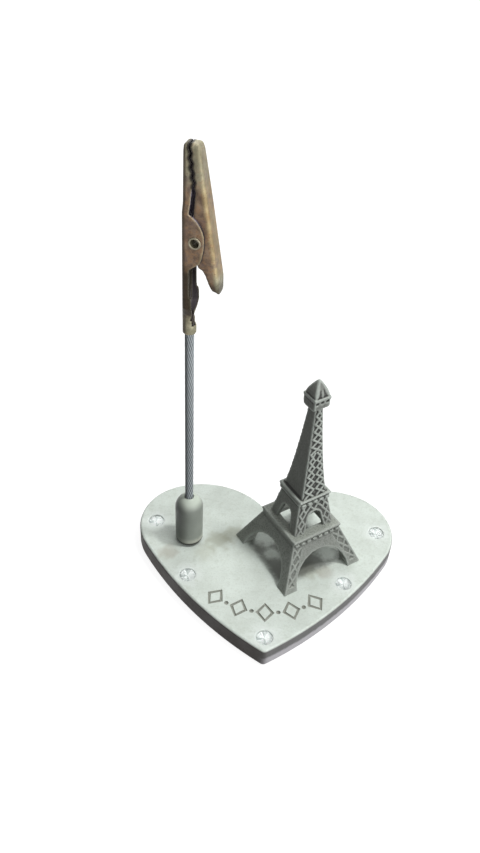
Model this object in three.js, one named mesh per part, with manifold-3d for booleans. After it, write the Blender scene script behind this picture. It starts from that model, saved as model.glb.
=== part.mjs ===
// Memo holder: a heart-shaped cast plate carries a lattice tower figure, five set stones
// and a wire-rope stem with a sprung clip on top.
// Millimetres, +Z up. The origin lies under the middle of the plate; the heart's tip points to -Y.
import * as THREE from 'three';
import { mergeVertices } from 'three/addons/utils/BufferGeometryUtils.js';
import Module from 'manifold-3d';

const wasm = await Module();
wasm.setup();

const degree = Math.PI / 180;

// Clearances
const glueFilm = 0.05;           // under pieces that are glued or screwed down
const pegClearance = 0.3;        // round the tower's pegs in the plate
const runningClearance = 0.08;   // round the pivot rivet
const nestClearance = 0.2;       // between the nested flanges of the two jaws
const springClearance = 0.3;     // between the spring and the pieces it bears on
const overcut = 1;               // how far a cutting tool runs past the surface it opens

// Heart plate
const plateWidth = 60;
const plateThickness = 4.95;
const plateEdgeRadius = 0.6;
const crownRadius = 18.2;        // top of each lobe
const shoulderRadius = 12.8;     // widest stretch of each lobe
const flankRadius = 87;          // long side down to the tip
const crownEnd = 66 * degree;    // where the crown arc meets the shoulder arc
const flankStart = -32 * degree; // where the shoulder arc meets the flank arc
const tipRadius = 1.2;
const notchRadius = 0.8;

// Set stones
const stoneDiameter = 3.5;
const stoneHeight = 1.2;
const stoneSides = 8;
const stoneTableShare = 0.45;    // table diameter over stone diameter
const stoneGirdleHeight = 0.45;
const stoneSeatDiameter = 4.15;
const stoneSeatDepth = 1.1;
const shoulderStoneInset = 3.8;  // from the plate's outline
const flankStoneInset = 3.3;
const tipStoneInset = 3.6;
const flankStoneAngle = -41 * degree;

// Stem: ferrule, its screw and the wire rope
const stemEdgeDistance = 12;     // from the plate's left extreme
const stemForward = 5.9;         // from the middle of the plate towards the lobes
const ferruleDiameter = 6.25;
const ferruleHeight = 13.8;
const ferruleDomeHeight = 3.4;
const ferruleFootRadius = 1;
const ropeSeatDepth = 5;
const ropeSeatClearance = 0.15;
const strandDiameter = 0.35;
const strandGap = 0.03;          // between neighbouring strands
const coreGap = 0.06;            // between the strands and the core
const strandCount = 12;          // laid round the core
const strandSides = 5;
const strandStepsPerLay = 9;
const layLength = 18.5;
const stemHeight = 57.75;        // plate to the crimp's lower end
const ropeStickOut = 1.2;        // rope ends above the crimp
const screwDiameter = 2.4;
const screwHeadDiameter = 4.8;
const screwHeadHeight = 1.3;
const screwSinkDepth = 0.2;      // head below the plate's underside
const screwReach = 5;            // thread length inside the ferrule
const screwClearance = 0.15;
const screwSlotWidth = 0.6;
const screwSlotDepth = 0.7;

// Tower figure, heights above the plate
const towerEdgeDistance = 22.85; // from the plate's right extreme
const towerForward = 4.6;
const towerTurn = 33.7 * degree;
const towerFootWidth = 20.6;
const legFootWidth = 3.25;
const firstGalleryTop = 11.1;
const firstGalleryWidth = 12.4;
const firstGalleryDepth = 12.9;
const secondGalleryTop = 20.3;
const secondGalleryWidth = 7.9;
const secondGalleryDepth = 8.1;
const slabHeight = 0.4;
const friezeHeight = 0.5;        // hollow band between the slab and the dentils
const friezeInset = 0.35;        // behind the slab's front
const dentilHeight = 0.5;
const dentilWidth = 0.95;
const dentilPitch = 1.53;
const dentilProud = 0.15;        // beyond the slab's front
const waistWidth = 10;           // second storey at its foot
const neckWidth = 7.3;           // second storey at its top
const storeyWall = 1.1;          // round the hollow of the second storey
const archRimWidth = 0.7;
const reliefDepth = 0.3;
const doorFootWidth = 5.3;
const doorSpringWidth = 3.6;
const doorSpringHeight = 3.3;    // above the first gallery
const doorRimWidth = 0.35;
const spireFootWidth = 6.2;
const spireTopWidth = 1.75;
const spireBendWidth = 4.1;      // control point of the spire's hollow curve
const spireBendHeight = 5.7;     // above the second gallery
const spireExtraDepth = 1;       // depth over width
const lanternFoot = 43;
const lanternWidth = 3.7;
const lanternSideHeight = 1.1;   // upright part of the lantern's profile
const eavesHeight = 0.55;
const eavesOverhang = 0.12;
const eavesTop = 45.8;
const towerHeight = 49.15;
const roofInset = 0.1;           // roof's foot behind the lantern's faces
const roofRibWidth = 0.42;
const roofRibDepth = 0.12;
const roofCurve = 1.7;           // 1 is a straight pyramid, more is rounder
const windowWidth = 0.72;
const windowHeight = 0.8;
const windowCount = 3;
const latticeBarWidth = 0.34;
const latticeMargin = 0.4;       // from the face's edge to the ends of the bars' middle lines
const latticeMiddleGap = 0.6;    // between the spire's two lower columns
const footBlockHeight = 1.2;     // plain block under the lattice of each leg
const legBorder = 0.35;          // plain strip round the lattice of each leg
const legLatticeWidth = 2.1;
const doorLatticeWidth = 1.5;
const legLatticePitch = 2.8;     // heights of one crossed cell
const doorLatticePitch = 2.6;
const spireLatticePitch = 1.9;
const pegDiameter = 1.6;
const pegLength = 2.5;

// Clip, heights above the pivot, reaches from the pivot towards the lever
const clipTurn = -15 * degree;
const pivotRise = 19.6;          // pivot above the crimp's lower end
const pivotOffset = 1.7;         // pivot from the stem's axis
const sheet = 0.3;
const jawWidth = 3.6;            // lever, and the fixed jaw above its ears
const bendRadius = 0.65;
const bendFlat = 0.05;           // flat left between the bends of a narrow back
const noseRise = 16.4;
const noseRadius = 0.85;         // corner of each nose in the side view
const noseWidth = 3.1;           // where the noses begin to round off
const noseEndWidth = 1.5;
const noseRound = 2;             // length of the rounded end
const noseGap = 0.2;
const fixedBack = 2.4;           // fixed jaw's back behind the pivot
const crimpLength = 3;
const crimpClearance = 0.04;
const crimpSeam = 0.25;
const tailNeckReach = -1.5;      // tail's flanges where they run out of the crimp
const tailHumpRise = -13.3;      // highest point of the tail's flanges
const tailHumpReach = -0.68;
const tailHumpRound = 1.5;
const tailDipRise = -8.7;        // shallow stretch of the tail
const tailReach = -1.2;
const earLowRise = -5.4;
const earHeelRise = -3.8;
const earHeelReach = 0.83;
const earReach = 1.57;
const earTopRise = 5;
const earWidestRise = 0.5;       // where the ears reach furthest
const earBendRise = 3.25;        // control point of the ears' upper curve
const joggleLength = 1.7;        // where the ears step in to the jaw's width
const noseLand = 0.6;            // plain edge between the nose and the first tooth
const toothCount = 4;
const toothPitch = 1.55;
const toothDepth = 0.34;
const toothGap = 0.3;
const partingReach = -1.33;      // parting line at the nose
const partingLean = 0.14;        // parting line's drift for each millimetre of height
const mouthWidth = 0.85;         // open slot below the teeth
const mouthLean = 0.33;          // slot's drift over its length
const leverBack = 3;             // lever's back from the pivot
const leverLean = 9.2 * degree;
const leverEarRadius = 1.5;
const leverEarTop = 1;           // where the lever's edge runs into its ear
const leverEarEnd = 225 * degree;
const leverHeelRise = -4.85;
const leverHeelReach = 0.6;
const leverTipRise = -9.8;
const leverFlangeEnd = -9.2;     // where the flanges run out into the thumb tongue
const thumbHollow = 1.65;        // how far the flanges' edge swings in above the tongue
const thumbRadius = 1.4;         // corners of the tongue's end
const thumbCurlRise = -7;        // where the back starts to curl in
const thumbCurl = 0.4;           // how far it has curled in at its end
const rivetRadius = 0.95;
const rivetBore = 0.72;
const rivetFlangeRadius = 1.25;
const rivetFlangeHeight = 0.22;
const springWire = 0.4;
const springPitch = 0.86;
const springFullTurns = 2;
const springFixedAngle = 176 * degree; // where the leg towards the fixed jaw leaves the coil
const springLeverAngle = 20 * degree;  // where the leg towards the lever leaves the coil
const springLeg = 4.2;
const springStepsPerTurn = 12;

// Facets
const roundSides = 24;
const smallSides = 16;
const arcSteps = 10;
const curveSteps = 6;            // along a curve of an outline that is drawn through a piece
const weldTolerance = 1e-5;

// Closed three.js geometry to a solid that can be joined and cut
function solid(geometry) {
  const bare = geometry.clone();
  bare.deleteAttribute('normal');
  bare.deleteAttribute('uv');
  const welded = mergeVertices(bare, weldTolerance);
  const index = welded.index.array;
  const triangles = [];
  for (let i = 0; i < index.length; i += 3) {
    const [a, b, c] = [index[i], index[i + 1], index[i + 2]];
    if (a !== b && b !== c && c !== a) triangles.push(a, b, c);
  }
  return new wasm.Manifold(new wasm.Mesh({
    numProp: 3,
    vertProperties: new Float32Array(welded.attributes.position.array),
    triVerts: new Uint32Array(triangles),
  }));
}

// A solid back to a three.js geometry
function geometryOf(body) {
  const mesh = body.getMesh();
  const geometry = new THREE.BufferGeometry();
  geometry.setAttribute('position', new THREE.BufferAttribute(mesh.vertProperties, 3));
  geometry.setIndex(new THREE.BufferAttribute(mesh.triVerts, 1));
  geometry.computeVertexNormals();
  return geometry;
}

function joined(bodies) {
  return bodies.reduce((sum, body) => sum.add(body));
}

function cut(body, tools) {
  return tools.reduce((rest, tool) => rest.subtract(tool), body);
}

// Named mesh with its own material
function piece(name, body, colour, roughness, metalness) {
  const material = new THREE.MeshStandardMaterial({ color: colour, roughness, metalness });
  const mesh = new THREE.Mesh(geometryOf(body), material);
  mesh.name = name;
  return mesh;
}

function polar(centre, radius, angle) {
  return new THREE.Vector2(centre.x + radius * Math.cos(angle), centre.y + radius * Math.sin(angle));
}

// Points along an arc, without its last one
function arc(centre, radius, from, to, steps = arcSteps) {
  return Array.from({ length: steps }, (_, i) => polar(centre, radius, from + (to - from) * i / steps));
}

// Outline in X and Y drawn up along Z
function standing(shape, low, high) {
  const settings = { depth: high - low, bevelEnabled: false, curveSegments: curveSteps };
  return new THREE.ExtrudeGeometry(shape, settings).translate(0, 0, low);
}

// Outline in X and Z drawn through along Y, as wide as given and centred
function through(shape, width) {
  const geometry = standing(shape, -width / 2, width / 2);
  return geometry.rotateX(Math.PI / 2);
}

// Outline in Y and Z drawn across along X, as wide as given and centred
function across(shape, width) {
  return through(shape, width).rotateZ(Math.PI / 2);
}

function box(width, depth, low, high) {
  return new THREE.BoxGeometry(width, depth, high - low).translate(0, 0, (low + high) / 2);
}

function cylinder(radius, low, high, sides = smallSides) {
  const geometry = new THREE.CylinderGeometry(radius, radius, high - low, sides);
  return geometry.rotateX(Math.PI / 2).translate(0, 0, (low + high) / 2);
}

// Profile of [radius, height] points turned about Z
function turned(profile, sides = roundSides) {
  const points = profile.map(([radius, height]) => new THREE.Vector2(radius, height));
  return new THREE.LatheGeometry(points, sides).rotateX(Math.PI / 2);
}

// Closed skin over rings of equally many points, each seen turning left from the far end
function skin(rings) {
  const count = rings[0].length;
  const last = (rings.length - 1) * count;
  const faces = [];
  for (let r = 0; r < rings.length - 1; r += 1) {
    for (let i = 0; i < count; i += 1) {
      const a = r * count + i;
      const b = r * count + (i + 1) % count;
      faces.push(a, b, b + count, a, b + count, a + count);
    }
  }
  for (let i = 1; i < count - 1; i += 1) {
    faces.push(0, i + 1, i, last, last + i, last + i + 1);
  }
  const geometry = new THREE.BufferGeometry().setFromPoints(rings.flat());
  return geometry.setIndex(faces);
}

// Heart: arc centres of the right half, already shifted so that the outline is centred on the origin
function heartArcs() {
  const crown = new THREE.Vector2(0, 0);
  crown.x = plateWidth / 2 - shoulderRadius - (crownRadius - shoulderRadius) * Math.cos(crownEnd);
  const shoulder = polar(crown, crownRadius - shoulderRadius, crownEnd);
  const flank = polar(shoulder, shoulderRadius - flankRadius, flankStart);
  const tip = new THREE.Vector2(0, flank.y - Math.sqrt((flankRadius - tipRadius) ** 2 - flank.x ** 2));
  const notch = new THREE.Vector2(0, Math.sqrt((crownRadius + notchRadius) ** 2 - crown.x ** 2));
  const middle = (crownRadius + tip.y - tipRadius) / 2;
  for (const centre of [crown, shoulder, flank, tip, notch]) centre.y -= middle;
  return { crown, shoulder, flank, tip, notch };
}

const heart = heartArcs();

function heartShape() {
  const { crown, shoulder, flank, tip, notch } = heart;
  const notchAngle = Math.atan2(notch.y - crown.y, -crown.x);
  const tipAngle = Math.atan2(tip.y - flank.y, -flank.x);
  const right = [
    ...arc(notch, notchRadius, -Math.PI / 2, notchAngle - Math.PI, arcSteps / 2),
    ...arc(crown, crownRadius, notchAngle, crownEnd),
    ...arc(shoulder, shoulderRadius, crownEnd, flankStart),
    ...arc(flank, flankRadius, flankStart, tipAngle),
    ...arc(tip, tipRadius, tipAngle, -Math.PI / 2, arcSteps / 2),
  ];
  const left = right.slice(1).reverse().map((point) => new THREE.Vector2(-point.x, point.y));
  return new THREE.Shape([...right, polar(tip, tipRadius, -Math.PI / 2), ...left].reverse());
}

// Places on the plate
const stemPlace = new THREE.Vector2(stemEdgeDistance - plateWidth / 2, stemForward);
const towerPlace = new THREE.Vector2(plateWidth / 2 - towerEdgeDistance, towerForward);
const footCentre = (towerFootWidth - legFootWidth) / 2;
const pegPlaces = [1, -1].map((side) => new THREE.Vector2(side * footCentre, side * footCentre));

function stonePlaces() {
  const shoulder = polar(heart.shoulder, shoulderRadius - shoulderStoneInset, 0);
  const flank = polar(heart.flank, flankRadius - flankStoneInset, flankStoneAngle);
  return {
    stone_shoulder_right: shoulder,
    stone_shoulder_left: new THREE.Vector2(-shoulder.x, shoulder.y),
    stone_flank_right: flank,
    stone_flank_left: new THREE.Vector2(-flank.x, flank.y),
    stone_tip: new THREE.Vector2(0, heart.tip.y - tipRadius + tipStoneInset),
  };
}

function heartPlate() {
  const blank = new THREE.ExtrudeGeometry(heartShape(), {
    depth: plateThickness - 2 * plateEdgeRadius,
    bevelThickness: plateEdgeRadius,
    bevelSize: plateEdgeRadius,
    bevelOffset: -plateEdgeRadius,
    bevelSegments: 2,
  }).translate(0, 0, plateEdgeRadius);
  const seats = Object.values(stonePlaces()).map(({ x, y }) => {
    const floor = plateThickness - stoneSeatDepth;
    const seat = cylinder(stoneSeatDiameter / 2, floor, plateThickness + overcut, roundSides);
    return solid(seat.translate(x, y, 0));
  });
  const pegHoles = pegPlaces.map((place) => {
    const at = place.clone().rotateAround(new THREE.Vector2(), towerTurn).add(towerPlace);
    const depth = pegLength + pegClearance;
    const hole = cylinder(pegDiameter / 2 + pegClearance, plateThickness - depth, plateThickness + overcut);
    return solid(hole.translate(at.x, at.y, 0));
  });
  const headRadius = screwHeadDiameter / 2 + screwClearance;
  const holeRadius = screwDiameter / 2 + screwClearance;
  const screwHole = turned([
    [0, -overcut],
    [headRadius, -overcut],
    [headRadius, screwSinkDepth],
    [holeRadius, screwSinkDepth + screwHeadHeight],
    [holeRadius, plateThickness + overcut],
    [0, plateThickness + overcut],
  ]).translate(stemPlace.x, stemPlace.y, 0);
  const body = cut(solid(blank), [...seats, ...pegHoles, solid(screwHole)]);
  return piece('heart_plate', body, 0xb4bcb2, 0.55, 0.6);
}

// Flat-backed faceted stone in its seat
function stone(name, place) {
  const radius = stoneDiameter / 2;
  const body = turned([
    [0, 0],
    [radius * (1 - stoneTableShare / 4), 0],
    [radius, stoneGirdleHeight],
    [radius * stoneTableShare, stoneHeight],
    [0, stoneHeight],
  ], stoneSides);
  const mesh = piece(name, solid(body), 0xe8eef2, 0.05, 0);
  mesh.position.set(place.x, place.y, plateThickness - stoneSeatDepth + glueFilm);
  return mesh;
}

// Wire rope: a round core and one layer of single-wire strands laid round it to the left
const strandOrbit = (strandDiameter + strandGap) / 2 / Math.sin(Math.PI / strandCount);
const ropeRadius = strandOrbit + strandDiameter / 2;
const coreRadius = strandOrbit - strandDiameter / 2 - coreGap;
const ropeLow = ferruleHeight - ropeSeatDepth + glueFilm;
const ropeHigh = stemHeight + crimpLength + ropeStickOut;

function ropePiece(name, geometry) {
  return piece(name, solid(geometry), 0x7d868c, 0.35, 0.9);
}

function ropeCore() {
  return ropePiece('rope_core', cylinder(coreRadius, ropeLow, ropeHigh));
}

function ropeStrand(number) {
  const steps = Math.ceil((ropeHigh - ropeLow) / layLength * strandStepsPerLay);
  const start = number / strandCount * 2 * Math.PI;
  const rings = [];
  for (let step = 0; step <= steps; step += 1) {
    const height = ropeLow + (ropeHigh - ropeLow) * step / steps;
    const turn = start - (height - ropeLow) / layLength * 2 * Math.PI;
    const centre = polar(new THREE.Vector2(), strandOrbit, turn);
    rings.push(Array.from({ length: strandSides }, (_, i) => {
      const edge = polar(centre, strandDiameter / 2, turn + i / strandSides * 2 * Math.PI);
      return new THREE.Vector3(edge.x, edge.y, height);
    }));
  }
  return ropePiece(`rope_strand_${number}`, skin(rings));
}

function ferrule() {
  const radius = ferruleDiameter / 2;
  const seatRadius = ropeRadius + ropeSeatClearance;
  const holeRadius = screwDiameter / 2 + screwClearance;
  const domeEnd = Math.acos(seatRadius / radius);
  const domeRise = ferruleDomeHeight / Math.sin(domeEnd);
  const straightTop = ferruleHeight - ferruleDomeHeight;
  const holeTop = screwReach + screwClearance;
  const profile = [[0, holeTop], [holeRadius, holeTop], [holeRadius, 0]];
  const footCorner = new THREE.Vector2(radius - ferruleFootRadius, ferruleFootRadius);
  const foot = arc(footCorner, ferruleFootRadius, -Math.PI / 2, 0, 4);
  profile.push(...foot.map((point) => [point.x, point.y]), [radius, ferruleFootRadius]);
  const domeSteps = 7;
  for (let i = 0; i <= domeSteps; i += 1) {
    const angle = domeEnd * i / domeSteps;
    profile.push([radius * Math.cos(angle), straightTop + domeRise * Math.sin(angle)]);
  }
  profile.push([seatRadius, ferruleHeight - ropeSeatDepth], [0, ferruleHeight - ropeSeatDepth]);
  return piece('stem_ferrule', solid(turned(profile)), 0x8c8a82, 0.4, 0.85);
}

// Countersunk screw from below, slotted head
function ferruleScrew() {
  const top = plateThickness + screwReach;
  const body = solid(turned([
    [0, screwSinkDepth],
    [screwHeadDiameter / 2, screwSinkDepth],
    [screwDiameter / 2, screwSinkDepth + screwHeadHeight],
    [screwDiameter / 2, top],
    [0, top],
  ], smallSides));
  const slot = solid(box(screwHeadDiameter + overcut, screwSlotWidth, 0, screwSinkDepth + screwSlotDepth));
  return piece('ferrule_screw', body.subtract(slot), 0x8f9296, 0.4, 0.9);
}

function rectangleRing(height, width, depth) {
  const [x, y] = [width / 2, depth / 2];
  return [[x, y], [-x, y], [-x, -y], [x, -y]].map((corner) => new THREE.Vector3(...corner, height));
}

// Flat bar between two points of the front view, half its width longer at each end,
// through the tower's whole depth
function latticeBar(from, to, width = latticeBarWidth) {
  const along = to.clone().sub(from).normalize().multiplyScalar(width / 2);
  const side = new THREE.Vector2(-along.y, along.x);
  const [low, high] = [from.clone().sub(along), to.clone().add(along)];
  const right = [low.clone().sub(side), high.clone().sub(side)];
  const left = [high.add(side), low.add(side)];
  return solid(through(new THREE.Shape([...right, ...left]), towerFootWidth + overcut));
}

// Column of crossed cells between two edges, each a function of height
function crossedColumn(low, high, leftEdge, rightEdge, pitch) {
  const cells = Math.max(1, Math.round((high - low) / pitch));
  const bars = [];
  for (let i = 0; i < cells; i += 1) {
    const foot = low + (high - low) * i / cells;
    const head = low + (high - low) * (i + 1) / cells;
    const [lowLeft, lowRight] = [leftEdge, rightEdge].map((edge) => new THREE.Vector2(edge(foot), foot));
    const [highLeft, highRight] = [leftEdge, rightEdge].map((edge) => new THREE.Vector2(edge(head), head));
    bars.push(latticeBar(lowLeft, highRight), latticeBar(lowRight, highLeft));
  }
  return joined(bars);
}

// The same column on the left and on the right of the middle
function twinColumns(low, high, innerEdge, outerEdge, pitch) {
  const mirrored = (edge) => (height) => -edge(height);
  const right = crossedColumn(low, high, innerEdge, outerEdge, pitch);
  const left = crossedColumn(low, high, mirrored(outerEdge), mirrored(innerEdge), pitch);
  return right.add(left);
}

// Plain panels between the same edges
function twinPanels(low, high, innerEdge, outerEdge) {
  const corners = [[innerEdge, low], [outerEdge, low], [outerEdge, high], [innerEdge, high]];
  return joined([1, -1].map((side) => {
    const points = corners.map(([edge, height]) => new THREE.Vector2(side * edge(height), height));
    return solid(through(new THREE.Shape(points), towerFootWidth + overcut));
  }));
}

// Storey with its front and back relief standing proud of the core
function storey(rings, relief, proudness = reliefDepth) {
  const body = (inset) => {
    const outlines = rings.map(([height, width, depth]) => rectangleRing(height, width, depth - 2 * inset));
    return solid(skin(outlines));
  };
  return body(proudness).add(relief.intersect(body(0)));
}

const archRadius = towerFootWidth / 2 - legFootWidth;
const galleryHeight = slabHeight + friezeHeight + dentilHeight;

// Gallery: a slab, a hollow frieze and a row of dentils under the front and back edges
function gallery(top, width, depth) {
  const slabFoot = top - slabHeight;
  const dentilFoot = top - galleryHeight;
  const dentilTop = dentilFoot + dentilHeight;
  const slab = solid(box(width, depth, slabFoot, top));
  const frieze = solid(box(width, depth - 2 * friezeInset, dentilFoot, slabFoot));
  const count = Math.floor(width / dentilPitch);
  const dentils = Array.from({ length: count }, (_, i) => {
    const at = (i - (count - 1) / 2) * dentilPitch;
    const dentil = box(dentilWidth, depth + 2 * dentilProud, dentilFoot, dentilTop);
    return solid(dentil.translate(at, 0, 0));
  });
  return joined([slab, frieze, ...dentils]);
}

function archShape(radius) {
  const shape = new THREE.Shape();
  shape.moveTo(radius, -overcut);
  shape.lineTo(radius, 0);
  shape.absarc(0, 0, radius, 0, Math.PI, false);
  shape.lineTo(-radius, -overcut);
  return shape;
}

// First storey: plain round the arch, with a sunk lattice panel up each leg
function firstStorey() {
  const top = firstGalleryTop - galleryHeight;
  const panelTop = top - legBorder;
  const taper = (firstGalleryWidth - towerFootWidth) / top;
  const outerEdge = (height) => (towerFootWidth + taper * height) / 2 - legBorder;
  const innerEdge = (height) => outerEdge(height) - legLatticeWidth;
  const face = solid(box(towerFootWidth + overcut, towerFootWidth + overcut, -overcut, top + overcut));
  const panels = twinPanels(footBlockHeight, panelTop, innerEdge, outerEdge);
  const bars = twinColumns(footBlockHeight, panelTop, innerEdge, outerEdge, legLatticePitch);
  const rim = solid(through(archShape(archRadius + archRimWidth), towerFootWidth));
  const relief = joined([face.subtract(panels), bars, rim]);
  const ends = [[0, towerFootWidth, towerFootWidth], [top, firstGalleryWidth, firstGalleryWidth]];
  return storey(ends, relief);
}

// Door of the second storey, with a rim of the given width round it
function doorShape(rimWidth) {
  const spring = firstGalleryTop + doorSpringHeight;
  const radius = doorSpringWidth / 2 + rimWidth;
  const foot = doorFootWidth / 2 + rimWidth;
  const shape = new THREE.Shape();
  shape.moveTo(foot, firstGalleryTop);
  shape.lineTo(radius, spring);
  shape.absarc(0, spring, radius, 0, Math.PI, false);
  shape.lineTo(-foot, firstGalleryTop);
  return shape;
}

const storeyTop = secondGalleryTop - galleryHeight;
const doorTop = firstGalleryTop + doorSpringHeight + doorSpringWidth / 2;

// Width of the second storey at a height
function storeyWidth(height) {
  const share = (height - firstGalleryTop) / (storeyTop - firstGalleryTop);
  return waistWidth + (neckWidth - waistWidth) * share;
}

// Second storey: a lattice column each side of the door and crossed bars over it
function secondStorey() {
  const outerEdge = (height) => storeyWidth(height) / 2 - latticeMargin;
  const innerEdge = (height) => outerEdge(height) - doorLatticeWidth;
  const relief = joined([
    twinColumns(firstGalleryTop, storeyTop, innerEdge, outerEdge, doorLatticePitch),
    twinColumns(doorTop + doorRimWidth, storeyTop, () => 0, innerEdge, doorLatticePitch),
    solid(through(doorShape(doorRimWidth), towerFootWidth)),
  ]);
  return storey([[firstGalleryTop, waistWidth, waistWidth], [storeyTop, neckWidth, neckWidth]], relief);
}

// Hollow of the second storey, up to the doors' tops and open below to the space between the legs
function storeyHollow() {
  const footWidth = waistWidth - 2 * storeyWall;
  const headWidth = storeyWidth(doorTop) - 2 * storeyWall;
  const rings = [[0, footWidth], [firstGalleryTop, footWidth], [doorTop, headWidth]];
  return solid(skin(rings.map(([height, width]) => rectangleRing(height, width, width))));
}

// Spire: half widths follow a hollow curve; two crossed columns run into one towards the top
function spire() {
  const profile = new THREE.QuadraticBezierCurve(
    new THREE.Vector2(spireFootWidth / 2, secondGalleryTop),
    new THREE.Vector2(spireBendWidth / 2, secondGalleryTop + spireBendHeight),
    new THREE.Vector2(spireTopWidth / 2, lanternFoot),
  ).getPoints(arcSteps / 2);
  const barEdge = (height) => {
    const above = Math.max(1, profile.filter((point) => point.y < height).length);
    const [low, high] = [profile[above - 1], profile[above]];
    return low.x + (high.x - low.x) * (height - low.y) / (high.y - low.y) - latticeMargin;
  };
  const middle = (secondGalleryTop + lanternFoot) / 2;
  const relief = joined([
    twinColumns(secondGalleryTop, middle, () => latticeMiddleGap / 2, barEdge, spireLatticePitch),
    crossedColumn(middle, lanternFoot, (height) => -barEdge(height), barEdge, spireLatticePitch),
  ]);
  return storey(profile.map((point) => [point.y, 2 * point.x, 2 * point.x + spireExtraDepth]), relief);
}

// Lantern under the roof, rounded below, with windows on the front and back
function lantern() {
  const half = lanternWidth / 2;
  const neck = (spireTopWidth + spireExtraDepth) / 2;
  const sideFoot = eavesTop - eavesHeight - lanternSideHeight;
  const shape = new THREE.Shape();
  shape.moveTo(-neck, lanternFoot);
  shape.lineTo(neck, lanternFoot);
  shape.quadraticCurveTo(half, lanternFoot, half, sideFoot);
  shape.lineTo(half, eavesTop);
  shape.lineTo(-half, eavesTop);
  shape.lineTo(-half, sideFoot);
  shape.quadraticCurveTo(-half, lanternFoot, -neck, lanternFoot);
  const block = solid(across(shape, lanternWidth));
  const windowPitch = lanternWidth / windowCount;
  const windowTop = eavesTop - eavesHeight;
  const windows = Array.from({ length: windowCount }, (_, i) => {
    const at = (i - (windowCount - 1) / 2) * windowPitch;
    const pane = box(windowWidth, lanternWidth + overcut, windowTop - windowHeight, windowTop);
    return solid(pane.translate(at, 0, 0));
  });
  const coreWidth = lanternWidth - 2 * reliefDepth;
  const core = solid(box(coreWidth, coreWidth, lanternFoot, eavesTop));
  const eavesWidth = lanternWidth + 2 * eavesOverhang;
  const eaves = solid(box(eavesWidth, eavesWidth, eavesTop - eavesHeight, eavesTop));
  return joined([cut(block, windows), core, eaves]);
}

// Roof: a rounded pyramid with ribs on the front and back
function roof() {
  const steps = 6;
  const rise = towerHeight - eavesTop;
  const footWidth = lanternWidth - 2 * roofInset;
  const tipWidth = roofRibWidth;
  const rings = Array.from({ length: steps + 1 }, (_, i) => {
    const share = i / steps;
    const width = tipWidth + (footWidth - tipWidth) * (1 - share ** roofCurve);
    return [eavesTop + rise * share, width, width];
  });
  const apex = new THREE.Vector2(0, towerHeight);
  const ribs = [-1, 0, 1].map((side) => {
    const foot = new THREE.Vector2(side * (footWidth - roofRibWidth) / 2, eavesTop);
    return latticeBar(foot, apex, roofRibWidth);
  });
  return storey(rings, joined(ribs), roofRibDepth);
}

function latticeTower() {
  const passage = towerFootWidth + overcut;
  const openings = [archShape(archRadius), doorShape(0)].flatMap((shape) => [
    solid(through(shape, passage)),
    solid(across(shape, passage)),
  ]);
  const galleries = [
    gallery(firstGalleryTop, firstGalleryWidth, firstGalleryDepth),
    gallery(secondGalleryTop, secondGalleryWidth, secondGalleryDepth),
  ];
  const legs = cut(joined([firstStorey(), secondStorey()]), openings);
  const pegs = pegPlaces.map(({ x, y }) => {
    const peg = cylinder(pegDiameter / 2, -pegLength, glueFilm);
    return solid(peg.translate(x, y, 0));
  });
  const storeys = cut(joined([legs, ...galleries]), [storeyHollow()]);
  const body = joined([storeys, spire(), lantern(), roof(), ...pegs]);
  const mesh = piece('lattice_tower', body, 0x6a6d68, 0.5, 0.7);
  mesh.position.set(towerPlace.x, towerPlace.y, plateThickness + glueFilm);
  mesh.rotation.z = towerTurn;
  return mesh;
}

// Clip: both jaws are bent channels, cut from a channel-shaped skin by a side outline.
// One horizontal ring of a channel: rounded corners at its back, square and far out at its open side.
function channelRing(height, back, facing, half, corner) {
  const open = back + facing * (fixedBack + leverBack + overcut);
  const centreX = back + facing * corner;
  const steps = 4;
  const nearBend = arc(new THREE.Vector2(0, 0), corner, 0, Math.PI / 2, steps);
  const bend = [...nearBend, new THREE.Vector2(0, corner)];
  const oneSide = bend.map(({ x, y }) => [centreX - facing * x, half - corner + y]);
  const outline = [[open, -half], ...oneSide.map(([x, y]) => [x, -y]).reverse(), ...oneSide, [open, half]];
  const ring = outline.map(([x, y]) => new THREE.Vector3(x, y, height));
  return facing > 0 ? ring.reverse() : ring;
}

// Channel of sheet metal through stations of height, back, half width, corner radius
// and how far the inside lies above or below that station
function channel(stations, facing) {
  const outer = stations.map(({ height, back, half, corner }) => (
    channelRing(height, back, facing, half, corner)
  ));
  const inner = stations.map(({ height, back, half, corner, shift = 0 }) => (
    channelRing(height + shift, back + facing * sheet, facing, half - sheet, corner - sheet)
  ));
  return { outer: solid(skin(outer)), inner: solid(skin(inner)) };
}

// Stations of a nose, which narrows to its closed end over a quarter of an ellipse
function noseStations(backAt) {
  const steps = 4;
  return Array.from({ length: steps + 1 }, (_, i) => {
    const angle = Math.PI / 2 * i / steps;
    const height = noseRise - noseRound * (1 - Math.sin(angle));
    const half = (noseEndWidth + (noseWidth - noseEndWidth) * Math.cos(angle)) / 2;
    const corner = Math.min(bendRadius, half - bendFlat);
    return { height, back: backAt(height), half, corner, shift: -sheet * Math.sin(angle) };
  });
}

const earHalf = jawWidth / 2 + nestClearance + sheet;
const crimpBore = ropeRadius + crimpClearance;
const crimpRadius = crimpBore + sheet;
const crimpTop = crimpLength - pivotRise;
const heelRise = noseRise - noseLand - toothCount * toothPitch;
const parting = (height) => partingReach + (noseRise - height) * partingLean;

// Lever's back: straight and leaning, curled in towards the thumb end
function leverBackAt(height) {
  const curled = Math.max(0, (thumbCurlRise - height) / (thumbCurlRise - leverTipRise));
  return leverBack - height * Math.tan(leverLean) - thumbCurl * curled;
}

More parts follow.
